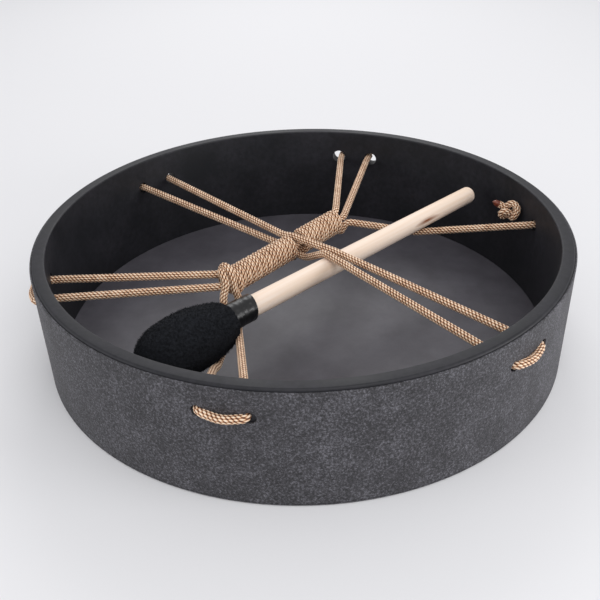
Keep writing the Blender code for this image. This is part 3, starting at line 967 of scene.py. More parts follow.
@dataclass
class DrumShell:
    """Bent hoop, striking film, head cover and the covering round the side."""

    sizes: HoopSizes
    segments: int = 216
    rim_outer_rounding: float = 0.0020
    rim_inner_rounding: float = 0.0013
    foot_bevel: float = 0.0015
    covering_below_rim: float = 0.0018
    covering_edge: float = 0.0006
    cover_rounding: float = 0.0015
    cutter_segments: int = 32
    cutter_length: float = 0.030
    body: str = "drum"

    def hole_cutter(self, covering: bool = False) -> bpy.types.Mesh:
        """Round bars on the axes of the rope holes.

        Args:
            covering: whether the holes are those of the covering.

        Returns:
            The bars as one mesh.
        """
        shape = bmesh.new()
        for pair, holes in self.sizes.pairs.items():
            radius = holes.covering_radius if covering else holes.radius
            for side in Side:
                azimuth = self.sizes.hole_azimuth(pair, side)
                azimuth += holes.covering_turn if covering else 0.0
                middle = around(azimuth, self.sizes.outer_radius - self.sizes.wall / 2,
                                self.sizes.hole_height(pair))
                place = (Matrix.Translation(middle)
                         @ Matrix.Rotation(math.radians(azimuth), 4, "Z")
                         @ Matrix.Rotation(math.radians(90), 4, "Y"))
                bmesh.ops.create_cone(shape, cap_ends=True, segments=self.cutter_segments,
                                      radius1=radius, radius2=radius, depth=self.cutter_length,
                                      matrix=place)
        bmesh.ops.recalc_face_normals(shape, faces=shape.faces)
        return made_mesh(shape, "hole_cutter")

    def add_ring(self, name: str, profile: Sequence[tuple[float, float]],
                 material: bpy.types.Material, node: str,
                 cutter: bpy.types.Mesh | None = None) -> None:
        """Spins a profile round the drum's axis into a piece.

        Args:
            name: the piece's name.
            profile: (radius, height) points.
            material: its finish.
            node: the CAD node that it stands for.
            cutter: bars that cut the rope holes.
        """
        mesh = spun_mesh(name, profile, self.segments)
        if cutter:
            mesh = cut_holes(mesh, cutter)
        finish_piece(name, mesh, material, self.body, [node], DRUM_CREASE)

    def build_hoop(self, paint: bpy.types.Material) -> None:
        """Builds the bent hoop with its rounded rim and rope holes.

        Args:
            paint: its finish.
        """
        s = self.sizes
        outer = (s.outer_radius - self.rim_outer_rounding, s.top - self.rim_outer_rounding)
        inner = (s.inner_radius + self.rim_inner_rounding, s.top - self.rim_inner_rounding)
        profile = profile_arc(outer, self.rim_outer_rounding, 0, 90, 8)
        profile += profile_arc(inner, self.rim_inner_rounding, 90, 180, 6)
        profile += [(s.inner_radius, s.bottom), (s.outer_radius - self.foot_bevel, s.bottom),
                    (s.outer_radius, s.bottom + self.foot_bevel)]
        self.add_ring("hoop", profile, paint, "shell_hoop", self.hole_cutter())

    def build_side_covering(self, covering: bpy.types.Material) -> None:
        """Builds the covering glued round the hoop's side.

        Args:
            covering: its finish.
        """
        s, edge = self.sizes, self.covering_edge
        top = s.top - self.covering_below_rim
        inner, outer = s.outer_radius + SEAT, s.covering_outer_radius
        profile = [(inner, s.film_bottom), (outer, s.film_bottom), (outer, top - edge)]
        profile += profile_arc((outer - edge, top - edge), edge, 15, 75, 3)
        profile += [(outer - edge, top), (inner, top)]
        self.add_ring("side_skin", profile, covering, "side_covering",
                      self.hole_cutter(covering=True))

    def build_head(self, covering: bpy.types.Material, film: bpy.types.Material) -> None:
        """Builds the striking film and the textured cover under it.

        Args:
            covering: the cover's finish.
            film: the film's finish.
        """
        s = self.sizes
        top = s.film_bottom + s.film_thickness
        disc = [(0.0, top), (s.inner_radius * 0.5, top), (s.outer_radius, top),
                (s.outer_radius, s.film_bottom), (0.0, s.film_bottom)]
        self.add_ring("film", disc, film, "head_film")
        foot = (s.covering_outer_radius - self.cover_rounding, self.cover_rounding)
        cover = [(0.0, s.cover_thickness), (s.covering_outer_radius, s.cover_thickness)]
        cover += profile_arc(foot, self.cover_rounding, 0, -90, 6) + [(0.0, 0.0)]
        self.add_ring("head_skin", cover, covering, "head_cover")

    def build(self) -> None:
        """Builds and dresses the whole shell."""
        covering = TexturedCovering().build()
        self.build_hoop(PaintedHoop().build())
        self.build_side_covering(covering)
        self.build_head(covering, StrikingFilm().build())


# Mallet


@dataclass
class Mallet:
    """Padded mallet: maple shaft, fleece head over dense foam, and tape at the neck.

    Places along it are measured from the neck, positive towards the butt.
    """

    neck: Vector = field(default_factory=lambda: Vector((-0.0450, -0.0678, 0.0570)))
    heading: float = 39.06
    rise: float = 3.04
    neck_radius: float = 0.0082
    butt_radius: float = 0.0072
    butt_rounding: float = 0.0042
    from_neck: float = 0.2508
    in_head: float = 0.0603
    tape_on_shaft: float = 0.0074
    tape_to_head: float = 0.0120
    tape_thickness: float = 0.0012
    tape_wall: float = 0.0013
    tape_lap: float = 0.0002
    tape_slant: float = 0.0016
    tape_ridge: float = 0.00022
    head_start: float = 0.0108
    head_tip: float = 0.0893
    head_radius: float = 0.0228
    head_sag: float = 0.0012
    mouth_radius: float = 0.0094
    gathers: int = 13
    gather_depth: float = 0.0009
    lump_height: float = 0.0005
    pile_height: float = 0.0002
    pile_per_metre: float = 420.0
    pile_depth: float = 0.0007
    tuft_count: int = 9000
    tuft_length: float = 0.0016
    tuft_root_radius: float = 0.00016
    tuft_tip_radius: float = 0.00003
    tuft_lean: float = 0.9
    tuft_centre: float = -0.050
    tuft_follow: float = 0.35
    # Place of the painted shadow on the shaft, where the rope from the right winding passes under
    # it.
    rope_shadow_along: float = 0.188
    rope_shadow_sideways: float = 0.00729
    rope_shadow_above: float = 0.00177
    body: str = "mallet"

    @property
    def plan(self) -> Vector:
        """Direction of the shaft seen from above."""
        angle = math.radians(self.heading)
        return Vector((math.cos(angle), math.sin(angle), 0.0))

    @property
    def along(self) -> Vector:
        """Direction of the shaft, towards its butt."""
        rise = math.radians(self.rise)
        return self.plan * math.cos(rise) + UP * math.sin(rise)

    @property
    def sideways(self) -> Vector:
        """Level direction across the shaft, towards the viewer."""
        return self.along.cross(UP).normalized()

    @property
    def place(self) -> Matrix:
        """Matrix from the mallet's own frame, whose Z axis is the shaft's, to the drum's."""
        turn = self.along.to_track_quat("Z", "Y").to_matrix().to_4x4()
        return Matrix.Translation(self.neck) @ turn

    @property
    def head_middle(self) -> float:
        """Place of the padded head's middle."""
        return -(self.head_start + self.head_tip) / 2

    @property
    def head_half(self) -> float:
        """Half the padded head's length."""
        return (self.head_tip - self.head_start) / 2

    def at(self, along: float) -> Vector:
        """Point on the axis."""
        return self.neck + self.along * along

    def egg_radius(self, along: float) -> float:
        """Radius of the padded head.

        Args:
            along: place along the axis.

        Returns:
            The radius there: a blunt end at the tip, and a waist at the mouth.
        """
        share = (along - self.head_middle) / self.head_half
        if share < 0.0:
            return self.head_radius * max(1.0 - (-share) ** 2.6, 0.0) ** 0.5
        flare = max(1.0 - share ** 2, 0.0) ** 0.625
        return self.mouth_radius + (self.head_radius - self.mouth_radius) * flare

    def radius(self, along: float) -> float:
        """Outer radius of the mallet.

        Args:
            along: place along the axis.

        Returns:
            The radius of the head, the tape or the shaft there.
        """
        if along < -self.head_start:
            return self.egg_radius(along)
        if along < self.tape_on_shaft:
            return self.neck_radius + SEAT + self.tape_thickness
        share = along / self.from_neck
        return self.neck_radius + (self.butt_radius - self.neck_radius) * share

    def build_shaft(self, wood: bpy.types.Material) -> None:
        """Builds the tapered shaft with its rounded butt.

        Args:
            wood: its finish.
        """
        profile = [(0.0, -self.in_head), (self.neck_radius, -self.in_head),
                   (self.neck_radius, 0.0)]
        for share in (0.25, 0.5, 0.75):
            along = share * self.from_neck
            profile.append((self.radius(along), along))
        profile += profile_arc((self.butt_radius - self.butt_rounding,
                                self.from_neck - self.butt_rounding),
                               self.butt_rounding, 0, 90, 8)
        profile += [(0.0, self.from_neck)]
        mesh = spun_mesh("shaft", profile, 48)
        mesh.transform(self.place)
        finish_piece("shaft", mesh, wood, self.body, ["mallet_shaft"], 50.0)

    def build_tape(self, tape: bpy.types.Material) -> None:
        """Builds two lapped turns of tape with creases and an oblique edge.

        Args:
            tape: its finish.
        """
        mesh = unrolled_sheet("tape", 60, 96)
        outside = self.neck_radius + SEAT + self.tape_thickness + SEAT
        for vert in mesh.vertices:
            share, angle = vert.co.x + 0.5, 2 * math.pi * (vert.co.y + 0.5)
            along = -self.tape_to_head + share * (self.tape_on_shaft + self.tape_to_head)
            along += self.tape_slant * math.sin(angle + 0.6) * share
            lap = self.tape_lap if share < 0.45 + 0.10 * math.sin(angle + 1.0) else 0.0
            crease = noise.noise(Vector((share * 5.0, math.cos(angle) * 1.6,
                                         math.sin(angle) * 1.6 + 4.0)))
            radius = outside + lap + self.tape_ridge * max(0.0, abs(crease) * 2.0 - 0.35)
            vert.co = (radius * math.cos(angle), radius * math.sin(angle), along)
        shape = bmesh.new()
        shape.from_mesh(mesh)
        bmesh.ops.remove_doubles(shape, verts=shape.verts, dist=MERGE / 10)
        bmesh.ops.recalc_face_normals(shape, faces=shape.faces)
        level = Vector((1.0, 1.0, 0.0))
        if sum(f.normal.dot(f.calc_center_median() * level) for f in shape.faces) < 0.0:
            bmesh.ops.reverse_faces(shape, faces=shape.faces)
        bmesh.ops.solidify(shape, geom=shape.faces, thickness=self.tape_wall)
        shape.to_mesh(mesh)
        shape.free()
        mesh.transform(self.place)
        finish_piece("neck_tape", mesh, tape, self.body, ["mallet_neck_tape"], 60.0)

    def build_core(self, foam: bpy.types.Material) -> None:
        """Dresses the foam core, which the fleece hides.

        Args:
            foam: its finish.
        """
        node = bpy.data.objects["mallet_head_core"]
        node.data.materials.clear()
        node.data.materials.append(foam)

    def fleece_point(self, share: float, angle: float) -> Vector:
        """Point on the fleece bag's outside.

        Args:
            share: place from the mouth at 0 to the tip at 1.
            angle: turn round the axis.

        Returns:
            The point in the mallet's own frame.
        """
        along = self.head_middle + self.head_half * math.cos(math.pi * share)
        radius = self.egg_radius(along)
        ring = Vector((math.cos(angle), math.sin(angle), 0.0))
        gather = self.gather_depth * math.sin(self.gathers * angle + 2.0 * math.sin(3 * angle))
        gather *= math.exp(-((share - 0.10) / 0.13) ** 2) * min(1.0, share / 0.06)
        lumps = noise.noise(Vector((math.cos(angle) * 1.7, math.sin(angle) * 1.7, along * 60)))
        pile = noise.noise(ring * radius * self.pile_per_metre
                           + UP * (along * self.pile_per_metre))
        bulge = math.sin(math.pi * share)
        reach = radius + gather + (self.lump_height * lumps + self.pile_height * pile) * bulge
        reach -= self.pile_depth * min(1.0, share * 8.0) * bulge
        return ring * reach + UP * along

    def build_fleece(self, fleece: bpy.types.Material) -> None:
        """Builds the fleece bag with its gathers and the tufts of its pile.

        Args:
            fleece: its finish.
        """
        mesh = unrolled_sheet("fleece", 130, 150)
        for vert in mesh.vertices:
            vert.co = self.fleece_point(vert.co.x + 0.5, 2 * math.pi * (vert.co.y + 0.5))
        shape = bmesh.new()
        shape.from_mesh(mesh)
        bmesh.ops.remove_doubles(shape, verts=shape.verts, dist=MERGE)
        bmesh.ops.holes_fill(shape, edges=[e for e in shape.edges if e.is_boundary], sides=0)
        bmesh.ops.recalc_face_normals(shape, faces=shape.faces)
        self.add_tufts(shape)
        shape.to_mesh(mesh)
        shape.free()
        sag = (self.sideways - UP) * self.head_sag
        mesh.transform(Matrix.Translation(sag) @ self.place)
        piece = finish_piece("fleece_head", mesh, fleece, self.body,
                             ["mallet_fleece_cover"])

    def add_tufts(self, shape: bmesh.types.BMesh) -> None:
        """Adds short curved tufts all over the bag, so that its edge looks soft.

        Args:
            shape: the bag's mesh, in the mallet's own frame.
        """
        maker = random.Random(11)
        bud = bmesh.new()
        bmesh.ops.create_cone(bud, cap_ends=False, segments=3, radius1=self.tuft_root_radius,
                              radius2=self.tuft_tip_radius, depth=1.0,
                              matrix=Matrix.Translation((0, 0, 0.5)))
        bmesh.ops.subdivide_edges(bud, edges=[e for e in bud.edges if abs(
            e.verts[0].co.z - e.verts[1].co.z) > 0.5], cuts=1)
        tuft = made_mesh(bud, "tuft")
        rest = [vert.co.copy() for vert in tuft.vertices]
        for _ in range(self.tuft_count):
            share = math.acos(1 - 2 * maker.uniform(0.02, 0.995)) / math.pi
            angle = maker.uniform(0, 2 * math.pi)
            root = self.fleece_point(share, angle)
            centre = self.tuft_centre + self.tuft_follow * (root.z - self.tuft_centre)
            outward = (root - UP * centre).normalized()
            lean = Vector([maker.uniform(-1, 1) for _ in range(3)])
            length = self.tuft_length * maker.uniform(0.5, 1.15) * min(1.0, 0.35 + share * 3.0)
            direction = (outward + lean * self.tuft_lean).normalized()
            curl = direction.cross(outward).normalized() * length * maker.uniform(-0.5, 0.5)
            turn = direction.to_track_quat("Z", "Y")
            for vert, place in zip(tuft.vertices, rest):
                local = Vector((place.x, place.y, place.z * length))
                vert.co = root + turn @ local + curl * place.z ** 2
            shape.from_mesh(tuft)

    def build(self) -> None:
        """Builds and dresses the whole mallet."""
        # Where the painted shadow of that rope lies on the shaft.
        rope_shadow_at = (self.at(self.rope_shadow_along) + self.sideways * self.rope_shadow_sideways
                    + UP * self.rope_shadow_above)
        self.build_shaft(TurnedMaple().build(self.place, self.place.inverted() @ rope_shadow_at))
        self.build_tape(VinylTape().build())
        self.build_core(DenseFoam().build())
        self.build_fleece(BlackFleece().build())


# Lacing


@dataclass
class Lacing:
    """The rope: loops outside the hoop, strands inside, the bound grip and the end knot.

    Places on the grip are measured along it from its left end, across it towards the back,
    and above its axis.
    """

    sizes: HoopSizes
    mallet: Mallet
    braid: SolidBraid = SolidBraid()
    cord: bpy.types.Material | None = None
    rope_radius: float = 0.0030
    bend: float = 0.0050
    pressed: float = 0.0002
    drawn_in: float = 0.0026
    loop_sag: float = 0.0015
    loop_bend: float = 0.0055
    in_hole_clearance: float = 0.00045
    seated: float = 0.0029
    loop_gap: float = 0.0001
    straight_from_hole: float = 0.0037
    past_shaft: float = 0.0004
    past_head: float = 0.0020
    grip_left: Vector = field(default_factory=lambda: Vector((-0.0609, -0.0426, 0.0640)))
    grip_heading: float = 47.9
    grip_length: float = 0.1364
    core_radius: float = 0.0022
    core_apart: float = 0.00235
    core_above: float = 0.00136
    core_below: float = 0.00271
    free_apart: float = 0.00321
    lower_rise: float = 0.0020
    upper_rise: float = 0.0071
    dive: float = 0.0070
    squeeze: float = 0.0060
    upper_in: float = 0.0033
    upper_out: float = 0.0045
    lower_out: float = 0.0038
    third_in: float = 0.0110
    winding_rope_radius: float = 0.00285
    winding_radius: float = 0.00771
    winding_lead: float = 0.0050
    winding_ease: float = 0.0100
    steps_per_turn: int = 64
    left_start: float = 0.0078
    left_turns: int = 12
    left_pitch: float = 0.00568
    left_swell: float = 0.30
    left_turn_off: Place = (0.0060, -0.0105, -0.0100)
    left_crossing_shift: float = -0.0025
    right_start: float = 0.0878
    right_turns: int = 8
    right_pitch: float = 0.0057
    right_lead: tuple[Place, Place, Place] = (
        (0.0, -0.0053, 0.0), (0.0, -0.0069, 0.0008), (0.0045, -0.0083, 0.0082))
    right_crossing_shift: float = 0.0035
    crossing: float = 0.0818
    crossing_half_length: float = 0.0120
    crossing_slack: float = 0.66
    crossing_near: float = 0.0015
    over_rise: float = 0.00686
    under_drop: float = 0.00821
    lower_crossing: float = 0.0825
    under_head: tuple[tuple[float, float], ...] = (
        (-0.044, 58.0), (-0.036, 36.0), (-0.027, 15.0), (-0.018, 0.0), (-0.011, -20.0))
    over_left_end: tuple[Place, ...] = (
        (-0.0085, -0.0088, -0.0030), (-0.0030, -0.0080, 0.0060), (-0.0018, -0.0030, 0.0112),
        (0.0008, 0.0015, 0.0116), (0.0052, 0.0010, 0.0050))
    loose_turn: tuple[Place, ...] = (
        (0.0078, 0.0085, -0.0040), (0.0078, 0.0098, 0.0030), (0.0072, 0.0062, 0.0112),
        (0.0062, 0.0012, 0.0134), (0.0050, -0.0040, 0.0114), (0.0038, -0.0080, 0.0055),
        (0.0034, -0.0088, -0.0020))
    knot_turn: float = -15.8
    knot_tilt: float = 26.0
    knot_bend: float = 0.0034
    knot_from_wall: float = 0.0080
    knot_above_hole: float = 0.0022
    knot_sideways: float = 0.0013
    knot_gap: float = 0.0002
    knot_stub: float = 0.0015
    knot_points: tuple[Place, ...] = (
        (0.0042, -0.0045, -0.0030), (0.0025, -0.0064, 0.0000), (0.0046, -0.0055, 0.0030),
        (0.0067, -0.0013, 0.0040), (0.0063, 0.0030, 0.0040), (0.0029, 0.0059, 0.0035),
        (-0.0005, 0.0051, 0.0025), (-0.0030, 0.0015, -0.0010), (-0.0025, -0.0025, -0.0040),
        (0.0003, -0.0048, -0.0030), (0.0012, -0.0034, 0.0020), (-0.0005, -0.0019, 0.0050),
        (-0.0047, -0.0017, 0.0060), (-0.0066, -0.0038, 0.0040), (-0.0045, -0.0060, 0.0010),
        (-0.0020, -0.0040, -0.0020), (-0.0025, 0.0005, -0.0010), (-0.0056, 0.0030, 0.0010),
        (-0.0090, 0.0042, 0.0020))
    tip_radius: float = 0.0031
    tip_stretch: Place = (0.86, 0.86, 1.5)
    tip_forward: float = 0.001
    tip_lumps: float = 0.12
    tip_lumps_per_metre: float = 600.0
    body: str = "drum"

    @property
    def grip_along(self) -> Vector:
        """Direction of the grip, from its left end to its right."""
        angle = math.radians(self.grip_heading)
        return Vector((math.cos(angle), math.sin(angle), 0.0))

    @property
    def grip_across(self) -> Vector:
        """Level direction across the grip, towards the back."""
        return UP.cross(self.grip_along)

    @property
    def right_end(self) -> float:
        """Where the right winding ends along the grip."""
        return self.right_start + self.right_turns * self.right_pitch

    def on_grip(self, along: float, across: float = 0.0, above: float = 0.0) -> Vector:
        """Point on the grip."""
        return (self.grip_left + self.grip_along * along + self.grip_across * across
                + UP * above)

    def rope_azimuth(self, pair: str, side: Side, outside: bool = False) -> float:
        """Azimuth of the rope in a hole, where it is drawn towards its pair's other hole.

        Args:
            pair: the pair's name.
            side: which of its holes.
            outside: whether it is the covering's hole and not the hoop's.

        Returns:
            The azimuth in degrees.
        """
        holes = self.sizes.pairs[pair]
        radius, turn = holes.radius, 0.0
        if outside:
            radius, turn = holes.covering_radius, holes.covering_turn
        shift = (radius - self.rope_radius - self.in_hole_clearance) / self.sizes.outer_radius
        return self.sizes.hole_azimuth(pair, side) + turn - side.value * math.degrees(shift)

    def towards_hole(self, pair: str, side: Side) -> list[Vector]:
        """Last two points of a strand.

        Args:
            pair: the name of the pair of holes that it runs to.
            side: which of the two.

        Returns:
            A point in front of the hole, and one seated in it.
        """
        azimuth = self.rope_azimuth(pair, side)
        height = self.sizes.hole_height(pair)
        return [around(azimuth, self.sizes.inner_radius - self.straight_from_hole, height),
                around(azimuth, self.sizes.inner_radius + self.seated, height)]

    def past_mallet(self, start: Vector, crossing: float, end: Vector,
                    passing: Passing) -> list[Vector]:
        """Taut route that bends round the mallet.

        Args:
            start: first point.
            crossing: distance along the mallet's axis at which the rope crosses it.
            end: last point.
            passing: over the mallet or under it.

        Returns:
            The route's points, start and end included.
        """
        side = passing.value
        centre = self.mallet.at(crossing)
        slope = math.tan(math.radians(self.mallet.rise))
        reach = self.mallet.radius(crossing) + self.rope_radius + self.past_shaft
        halves = []
        for point in (start, end):
            offset = Vector((point.x - centre.x, point.y - centre.y, 0.0))
            squeeze = math.sin(offset.angle(self.mallet.plan))
            away = offset.length * squeeze
            lift = side * (point.z - centre.z - slope * offset.dot(self.mallet.plan))
            angle = math.atan2(lift, away) + math.acos(reach / math.hypot(away, lift))
            halves.append((offset.normalized() / squeeze, angle))
        steps = 6
        turns = [(halves[0], i / steps) for i in range(steps)]
        turns += [(halves[1], i / steps) for i in range(steps, -1, -1)]
        route = [start]
        for (plan, angle), share in turns:
            turn = angle + (math.pi / 2 - angle) * share
            step = plan * (reach * math.cos(turn))
            height = side * reach * math.sin(turn) + slope * step.dot(self.mallet.plan)
            route.append(centre + step + UP * height)
        return route + [end]

    def crossing_towards(self, start: Vector, end: Vector) -> float:
        """Distance along the mallet at which a straight line crosses it in plan."""
        normal = Vector((start.y - end.y, end.x - start.x, 0.0))
        return normal.dot(start - self.mallet.neck) / normal.dot(self.mallet.along)

    def add_rope(self, name: str, route: Sequence[Vector], nodes: Sequence[str],
                 radius_at: RadiusAlong | None = None) -> None:
        """Adds a length of rope that stands for some CAD nodes.

        Args:
            name: the piece's name.
            route: its route.
            nodes: the CAD nodes that it stands for.
            radius_at: its radius along the route, where that isn't the same all along.
        """
        mesh = self.braid.mesh_along(name, route, radius_at or self.plain_radius)
        finish_piece(name, mesh, self.cord, self.body, nodes)

    def plain_radius(self, along: np.ndarray) -> np.ndarray:
        """Radius of a free length of rope."""
        return np.full_like(along, self.rope_radius)

    def squeezed_radius(self, start: float, end: float) -> RadiusAlong:
        """Radius of a rope that the winding squeezes between two places.

        Args:
            start: where the squeeze begins along the rope.
            end: where it ends.

        Returns:
            A function from distances along the rope to radii.
        """
        def radius_at(along: np.ndarray) -> np.ndarray:
            """Radius at distances along the rope."""
            share = np.minimum(np.clip((along - start) / self.squeeze, 0.0, 1.0),
                               np.clip((end - along) / self.squeeze, 0.0, 1.0))
            share = share * share * (3 - 2 * share)
            return self.rope_radius + (self.core_radius - self.rope_radius) * share
        return radius_at

    def winding_radius_along(self, length: float) -> RadiusAlong:
        """Radius of a rope that is free at its start and wound tight after it.

        Args:
            length: length of the free part.

        Returns:
            A function from distances along the rope to radii.
        """
        def radius_at(along: np.ndarray) -> np.ndarray:
            """Radius at distances along the rope."""
            share = np.clip((along - length + self.winding_ease) / self.winding_ease, 0.0, 1.0)
            return self.rope_radius + (self.winding_rope_radius - self.rope_radius) * share
        return radius_at

    def loop_route(self, pair: str) -> list[Vector]:
        """Route of the rope outside a pair of holes.

        Args:
            pair: the pair's name.

        Returns:
            Its points, from the lower azimuth to the higher.
        """
        outside = self.sizes.covering_outer_radius + self.rope_radius - self.pressed
        inside = self.sizes.inner_radius + self.seated + self.loop_gap
        height = self.sizes.hole_height(pair)
        ends = [[around(self.rope_azimuth(pair, side), inside, height),
                 around(self.rope_azimuth(pair, side, True), outside - self.drawn_in, height)]
                for side in Side]
        holes = self.sizes.pairs[pair]
        middle = around(holes.azimuth + holes.covering_turn, outside, height - self.loop_sag)
        return eased([*ends[0], middle, *ends[1][::-1]], self.loop_bend)

    def build_loops(self) -> None:
        """Builds the loop outside each pair of holes, apart from the knotted pair's."""
        for pair in self.sizes.pairs:
            if pair != "right":
                self.add_rope("loop_" + pair, self.loop_route(pair), ["rope_loop_" + pair])

    def build_core_strands(self) -> None:
        """Builds the upper and the lower strand that run through the grip, hole to hole."""
        for number, sign, left_side, right_side in (
                (1, 1, Side.LOWER, Side.HIGHER), (2, -1, Side.HIGHER, Side.LOWER)):
            rise, left_in = self.upper_rise, self.upper_in
            right_in = self.right_end + self.upper_out
            if sign < 0:
                rise, left_in = self.lower_rise, -self.lower_out
                right_in = self.grip_length + self.lower_out
            route = [*self.towards_hole("left", left_side)[::-1],
                     self.on_grip(left_in, sign * self.free_apart, rise)]
            entry = path_length(route)
            route += [
                self.on_grip(left_in + self.dive, sign * self.core_apart, self.core_above),
                self.on_grip(right_in - self.dive, sign * self.core_apart, self.core_above),
                self.on_grip(right_in, sign * self.free_apart, rise)]
            self.add_rope(f"strand_left_to_back_{number}",
                          eased(route + self.towards_hole("back", right_side), self.bend),
                          [f"rope_strand_left_{number}", f"grip_core_strand_{number}",
                           f"rope_strand_back_{number}"],
                          self.squeezed_radius(entry, entry + right_in - left_in))

    def build_third_strand(self) -> None:
        """Builds the strand that passes under the mallet's head and dives into the grip."""
        route = self.towards_hole("front_left", Side.LOWER)[::-1]
        for along, degrees in self.under_head:
            turn = math.radians(degrees)
            away = self.mallet.radius(along) + self.rope_radius + self.past_head
            offset = self.mallet.sideways * (away * math.sin(turn)) - UP * (away * math.cos(turn))
            route.append(self.mallet.at(along) + offset)
        route += [self.on_grip(*place) for place in self.over_left_end]
        entry = path_length(route)
        route += [self.on_grip(self.third_in, 0.0, -self.core_below),
                  self.on_grip(self.grip_length + SEAT, 0.0, -self.core_below)]
        self.add_rope("strand_front_left_1", eased(route, self.bend),
                      ["rope_strand_front_left_1", "grip_core_strand_3"],
                      self.squeezed_radius(entry, 1.0))

    def build_crossing_strands(self) -> None:
        """Builds the two ropes that cross the grip between its windings."""
        for name, number, rise, back_side, front_side in (
                ("over", 2, self.over_rise, Side.LOWER, Side.HIGHER),
                ("under", 1, -self.under_drop, Side.HIGHER, Side.LOWER)):
            front = self.towards_hole("front_right", front_side)
            turn = self.on_grip(self.crossing, -self.crossing_half_length, rise)
            crossing = self.lower_crossing
            if name == "over":
                crossing = self.crossing_towards(turn, front[0])
            route = [*self.towards_hole("back_left", back_side)[::-1],
                     self.on_grip(self.crossing, self.crossing_half_length,
                                  rise * self.crossing_slack),
                     self.on_grip(self.crossing, self.crossing_near, rise)]
            route += self.past_mallet(turn, crossing, front[0], Passing.OVER) + front[1:]
            self.add_rope(f"strand_{name}_grip", eased(route, self.bend),
                          [f"rope_strand_back_left_{number}", f"rope_strand_front_right_{number}"])

    def winding_route(self, start: float, turns: int, pitch: float) -> list[Vector]:
        """Helix of one winding, with its straight ends.

        Args:
            start: where it starts along the grip.
            turns: number of turns.
            pitch: distance between turns.

        Returns:
            The route's points. The rope crosses the bottom towards the front.
        """
        radius, steps = self.winding_radius, self.steps_per_turn
        points = [self.on_grip(start, self.winding_lead, -radius)]
        for i in range(turns * steps + 1):
            turn = 2 * math.pi * i / steps
            points.append(self.on_grip(start + pitch * i / steps, -radius * math.sin(turn),
                                       -radius * math.cos(turn)))
        points.append(self.on_grip(start + turns * pitch, -self.winding_lead, -radius))
        return points

    def build_left_winding(self) -> None:
        """Builds the left winding with its loose first turn and the strand that runs into it."""
        hole = self.towards_hole("front_left", Side.HIGHER)
        helix = self.winding_route(self.left_start, self.left_turns, self.left_pitch)
        steps = self.steps_per_turn
        for i, point in enumerate(helix[1:steps // 2 + 1]):
            spread = 1.0 + self.left_swell * math.sin(2 * math.pi * i / steps) ** 2
            centre = self.on_grip((point - self.grip_left).dot(self.grip_along))
            helix[i + 1] = centre + (point - centre) * spread
        turn = self.on_grip(*self.left_turn_off)
        crossing = self.crossing_towards(turn, hole[0]) + self.left_crossing_shift
        route = self.past_mallet(turn, crossing, hole[0], Passing.UNDER)
        loose = [self.on_grip(*place) for place in self.loose_turn]
        free = eased([helix[0], *loose, *route, hole[1]], self.bend)[::-1]
        self.add_rope("winding_left", free + helix,
                      ["rope_strand_front_left_2", "grip_winding_left"],
                      self.winding_radius_along(path_length(free)))

    def build_right_winding(self) -> None:
        """Builds the right winding with the strand that runs into it."""
        hole = self.towards_hole("right", Side.LOWER)
        start, out, turn = (
            self.on_grip(self.right_end + along, across, above - self.winding_radius)
            for along, across, above in self.right_lead)
        crossing = self.crossing_towards(turn, hole[0]) + self.right_crossing_shift
        route = self.past_mallet(turn, crossing, hole[0], Passing.UNDER)
        free = eased([start, out, *route, hole[1]], self.bend)[::-1]
        helix = self.winding_route(self.right_start, self.right_turns, self.right_pitch)
        self.add_rope("winding_right", free + helix[::-1],
                      ["rope_strand_right", "grip_winding_right"],
                      self.winding_radius_along(path_length(free)))

    def build_end_knot(self) -> None:
        """Builds the right loop and the knot that stops the rope's end inside the wall."""
        azimuth = self.rope_azimuth("right", Side.HIGHER)
        height = self.sizes.hole_height("right")
        outward = around(azimuth, 1.0, 0.0)
        centre = (around(azimuth, self.sizes.inner_radius - self.knot_from_wall,
                         height + self.knot_above_hole)
                  - UP.cross(outward) * self.knot_sideways)
        tilt = math.radians(self.knot_tilt)
        right = around(self.knot_turn, 1.0, 0.0)
        view = around(self.knot_turn - 90.0, math.cos(tilt), math.sin(tilt))
        above = view.cross(right)
        knot = [centre + right * x + above * y + view * z for x, y, z in self.knot_points]
        self.add_rope("loop_right", self.loop_route("right"), ["rope_loop_right"])
        hole = around(azimuth, self.sizes.inner_radius + self.knot_gap, height)
        route = [hole, *eased([hole - outward * self.knot_stub, *knot], self.knot_bend)]
        self.add_rope("end_knot", route, ["stopper_knot"])
        self.build_tip(knot[-1], knot[-1] - knot[-2])

    def build_tip(self, place: Vector, aim: Vector) -> None:
        """Builds the melted bead on the rope's end.

        Args:
            place: where the rope ends.
            aim: the rope's direction there.
        """
        shape = bmesh.new()
        bmesh.ops.create_uvsphere(shape, u_segments=20, v_segments=14, radius=self.tip_radius)
        for vert in shape.verts:
            vert.co *= 1.0 + self.tip_lumps * noise.noise(vert.co * self.tip_lumps_per_metre)
            vert.co = vert.co * Vector(self.tip_stretch) + UP * self.tip_forward
        turn = aim.to_track_quat("Z", "Y").to_matrix().to_4x4()
        bmesh.ops.transform(shape, matrix=Matrix.Translation(place) @ turn, verts=shape.verts)
        finish_piece("melted_tip", made_mesh(shape, "melted_tip"), MeltedTip().build(), self.body)

    def build(self) -> None:
        """Builds and dresses the whole lacing."""
        self.cord = BraidedCord().build()
        self.build_loops()
        self.build_core_strands()
        self.build_third_strand()
        self.build_crossing_strands()
        self.build_left_winding()
        self.build_right_winding()
        self.build_end_knot()


# Studio


@dataclass(frozen=True)
class Softbox:
    """Soft square lamp: its name, where it hangs, the length of its side and its watts."""

    name: str
    place: Place
    side: float
    power: float


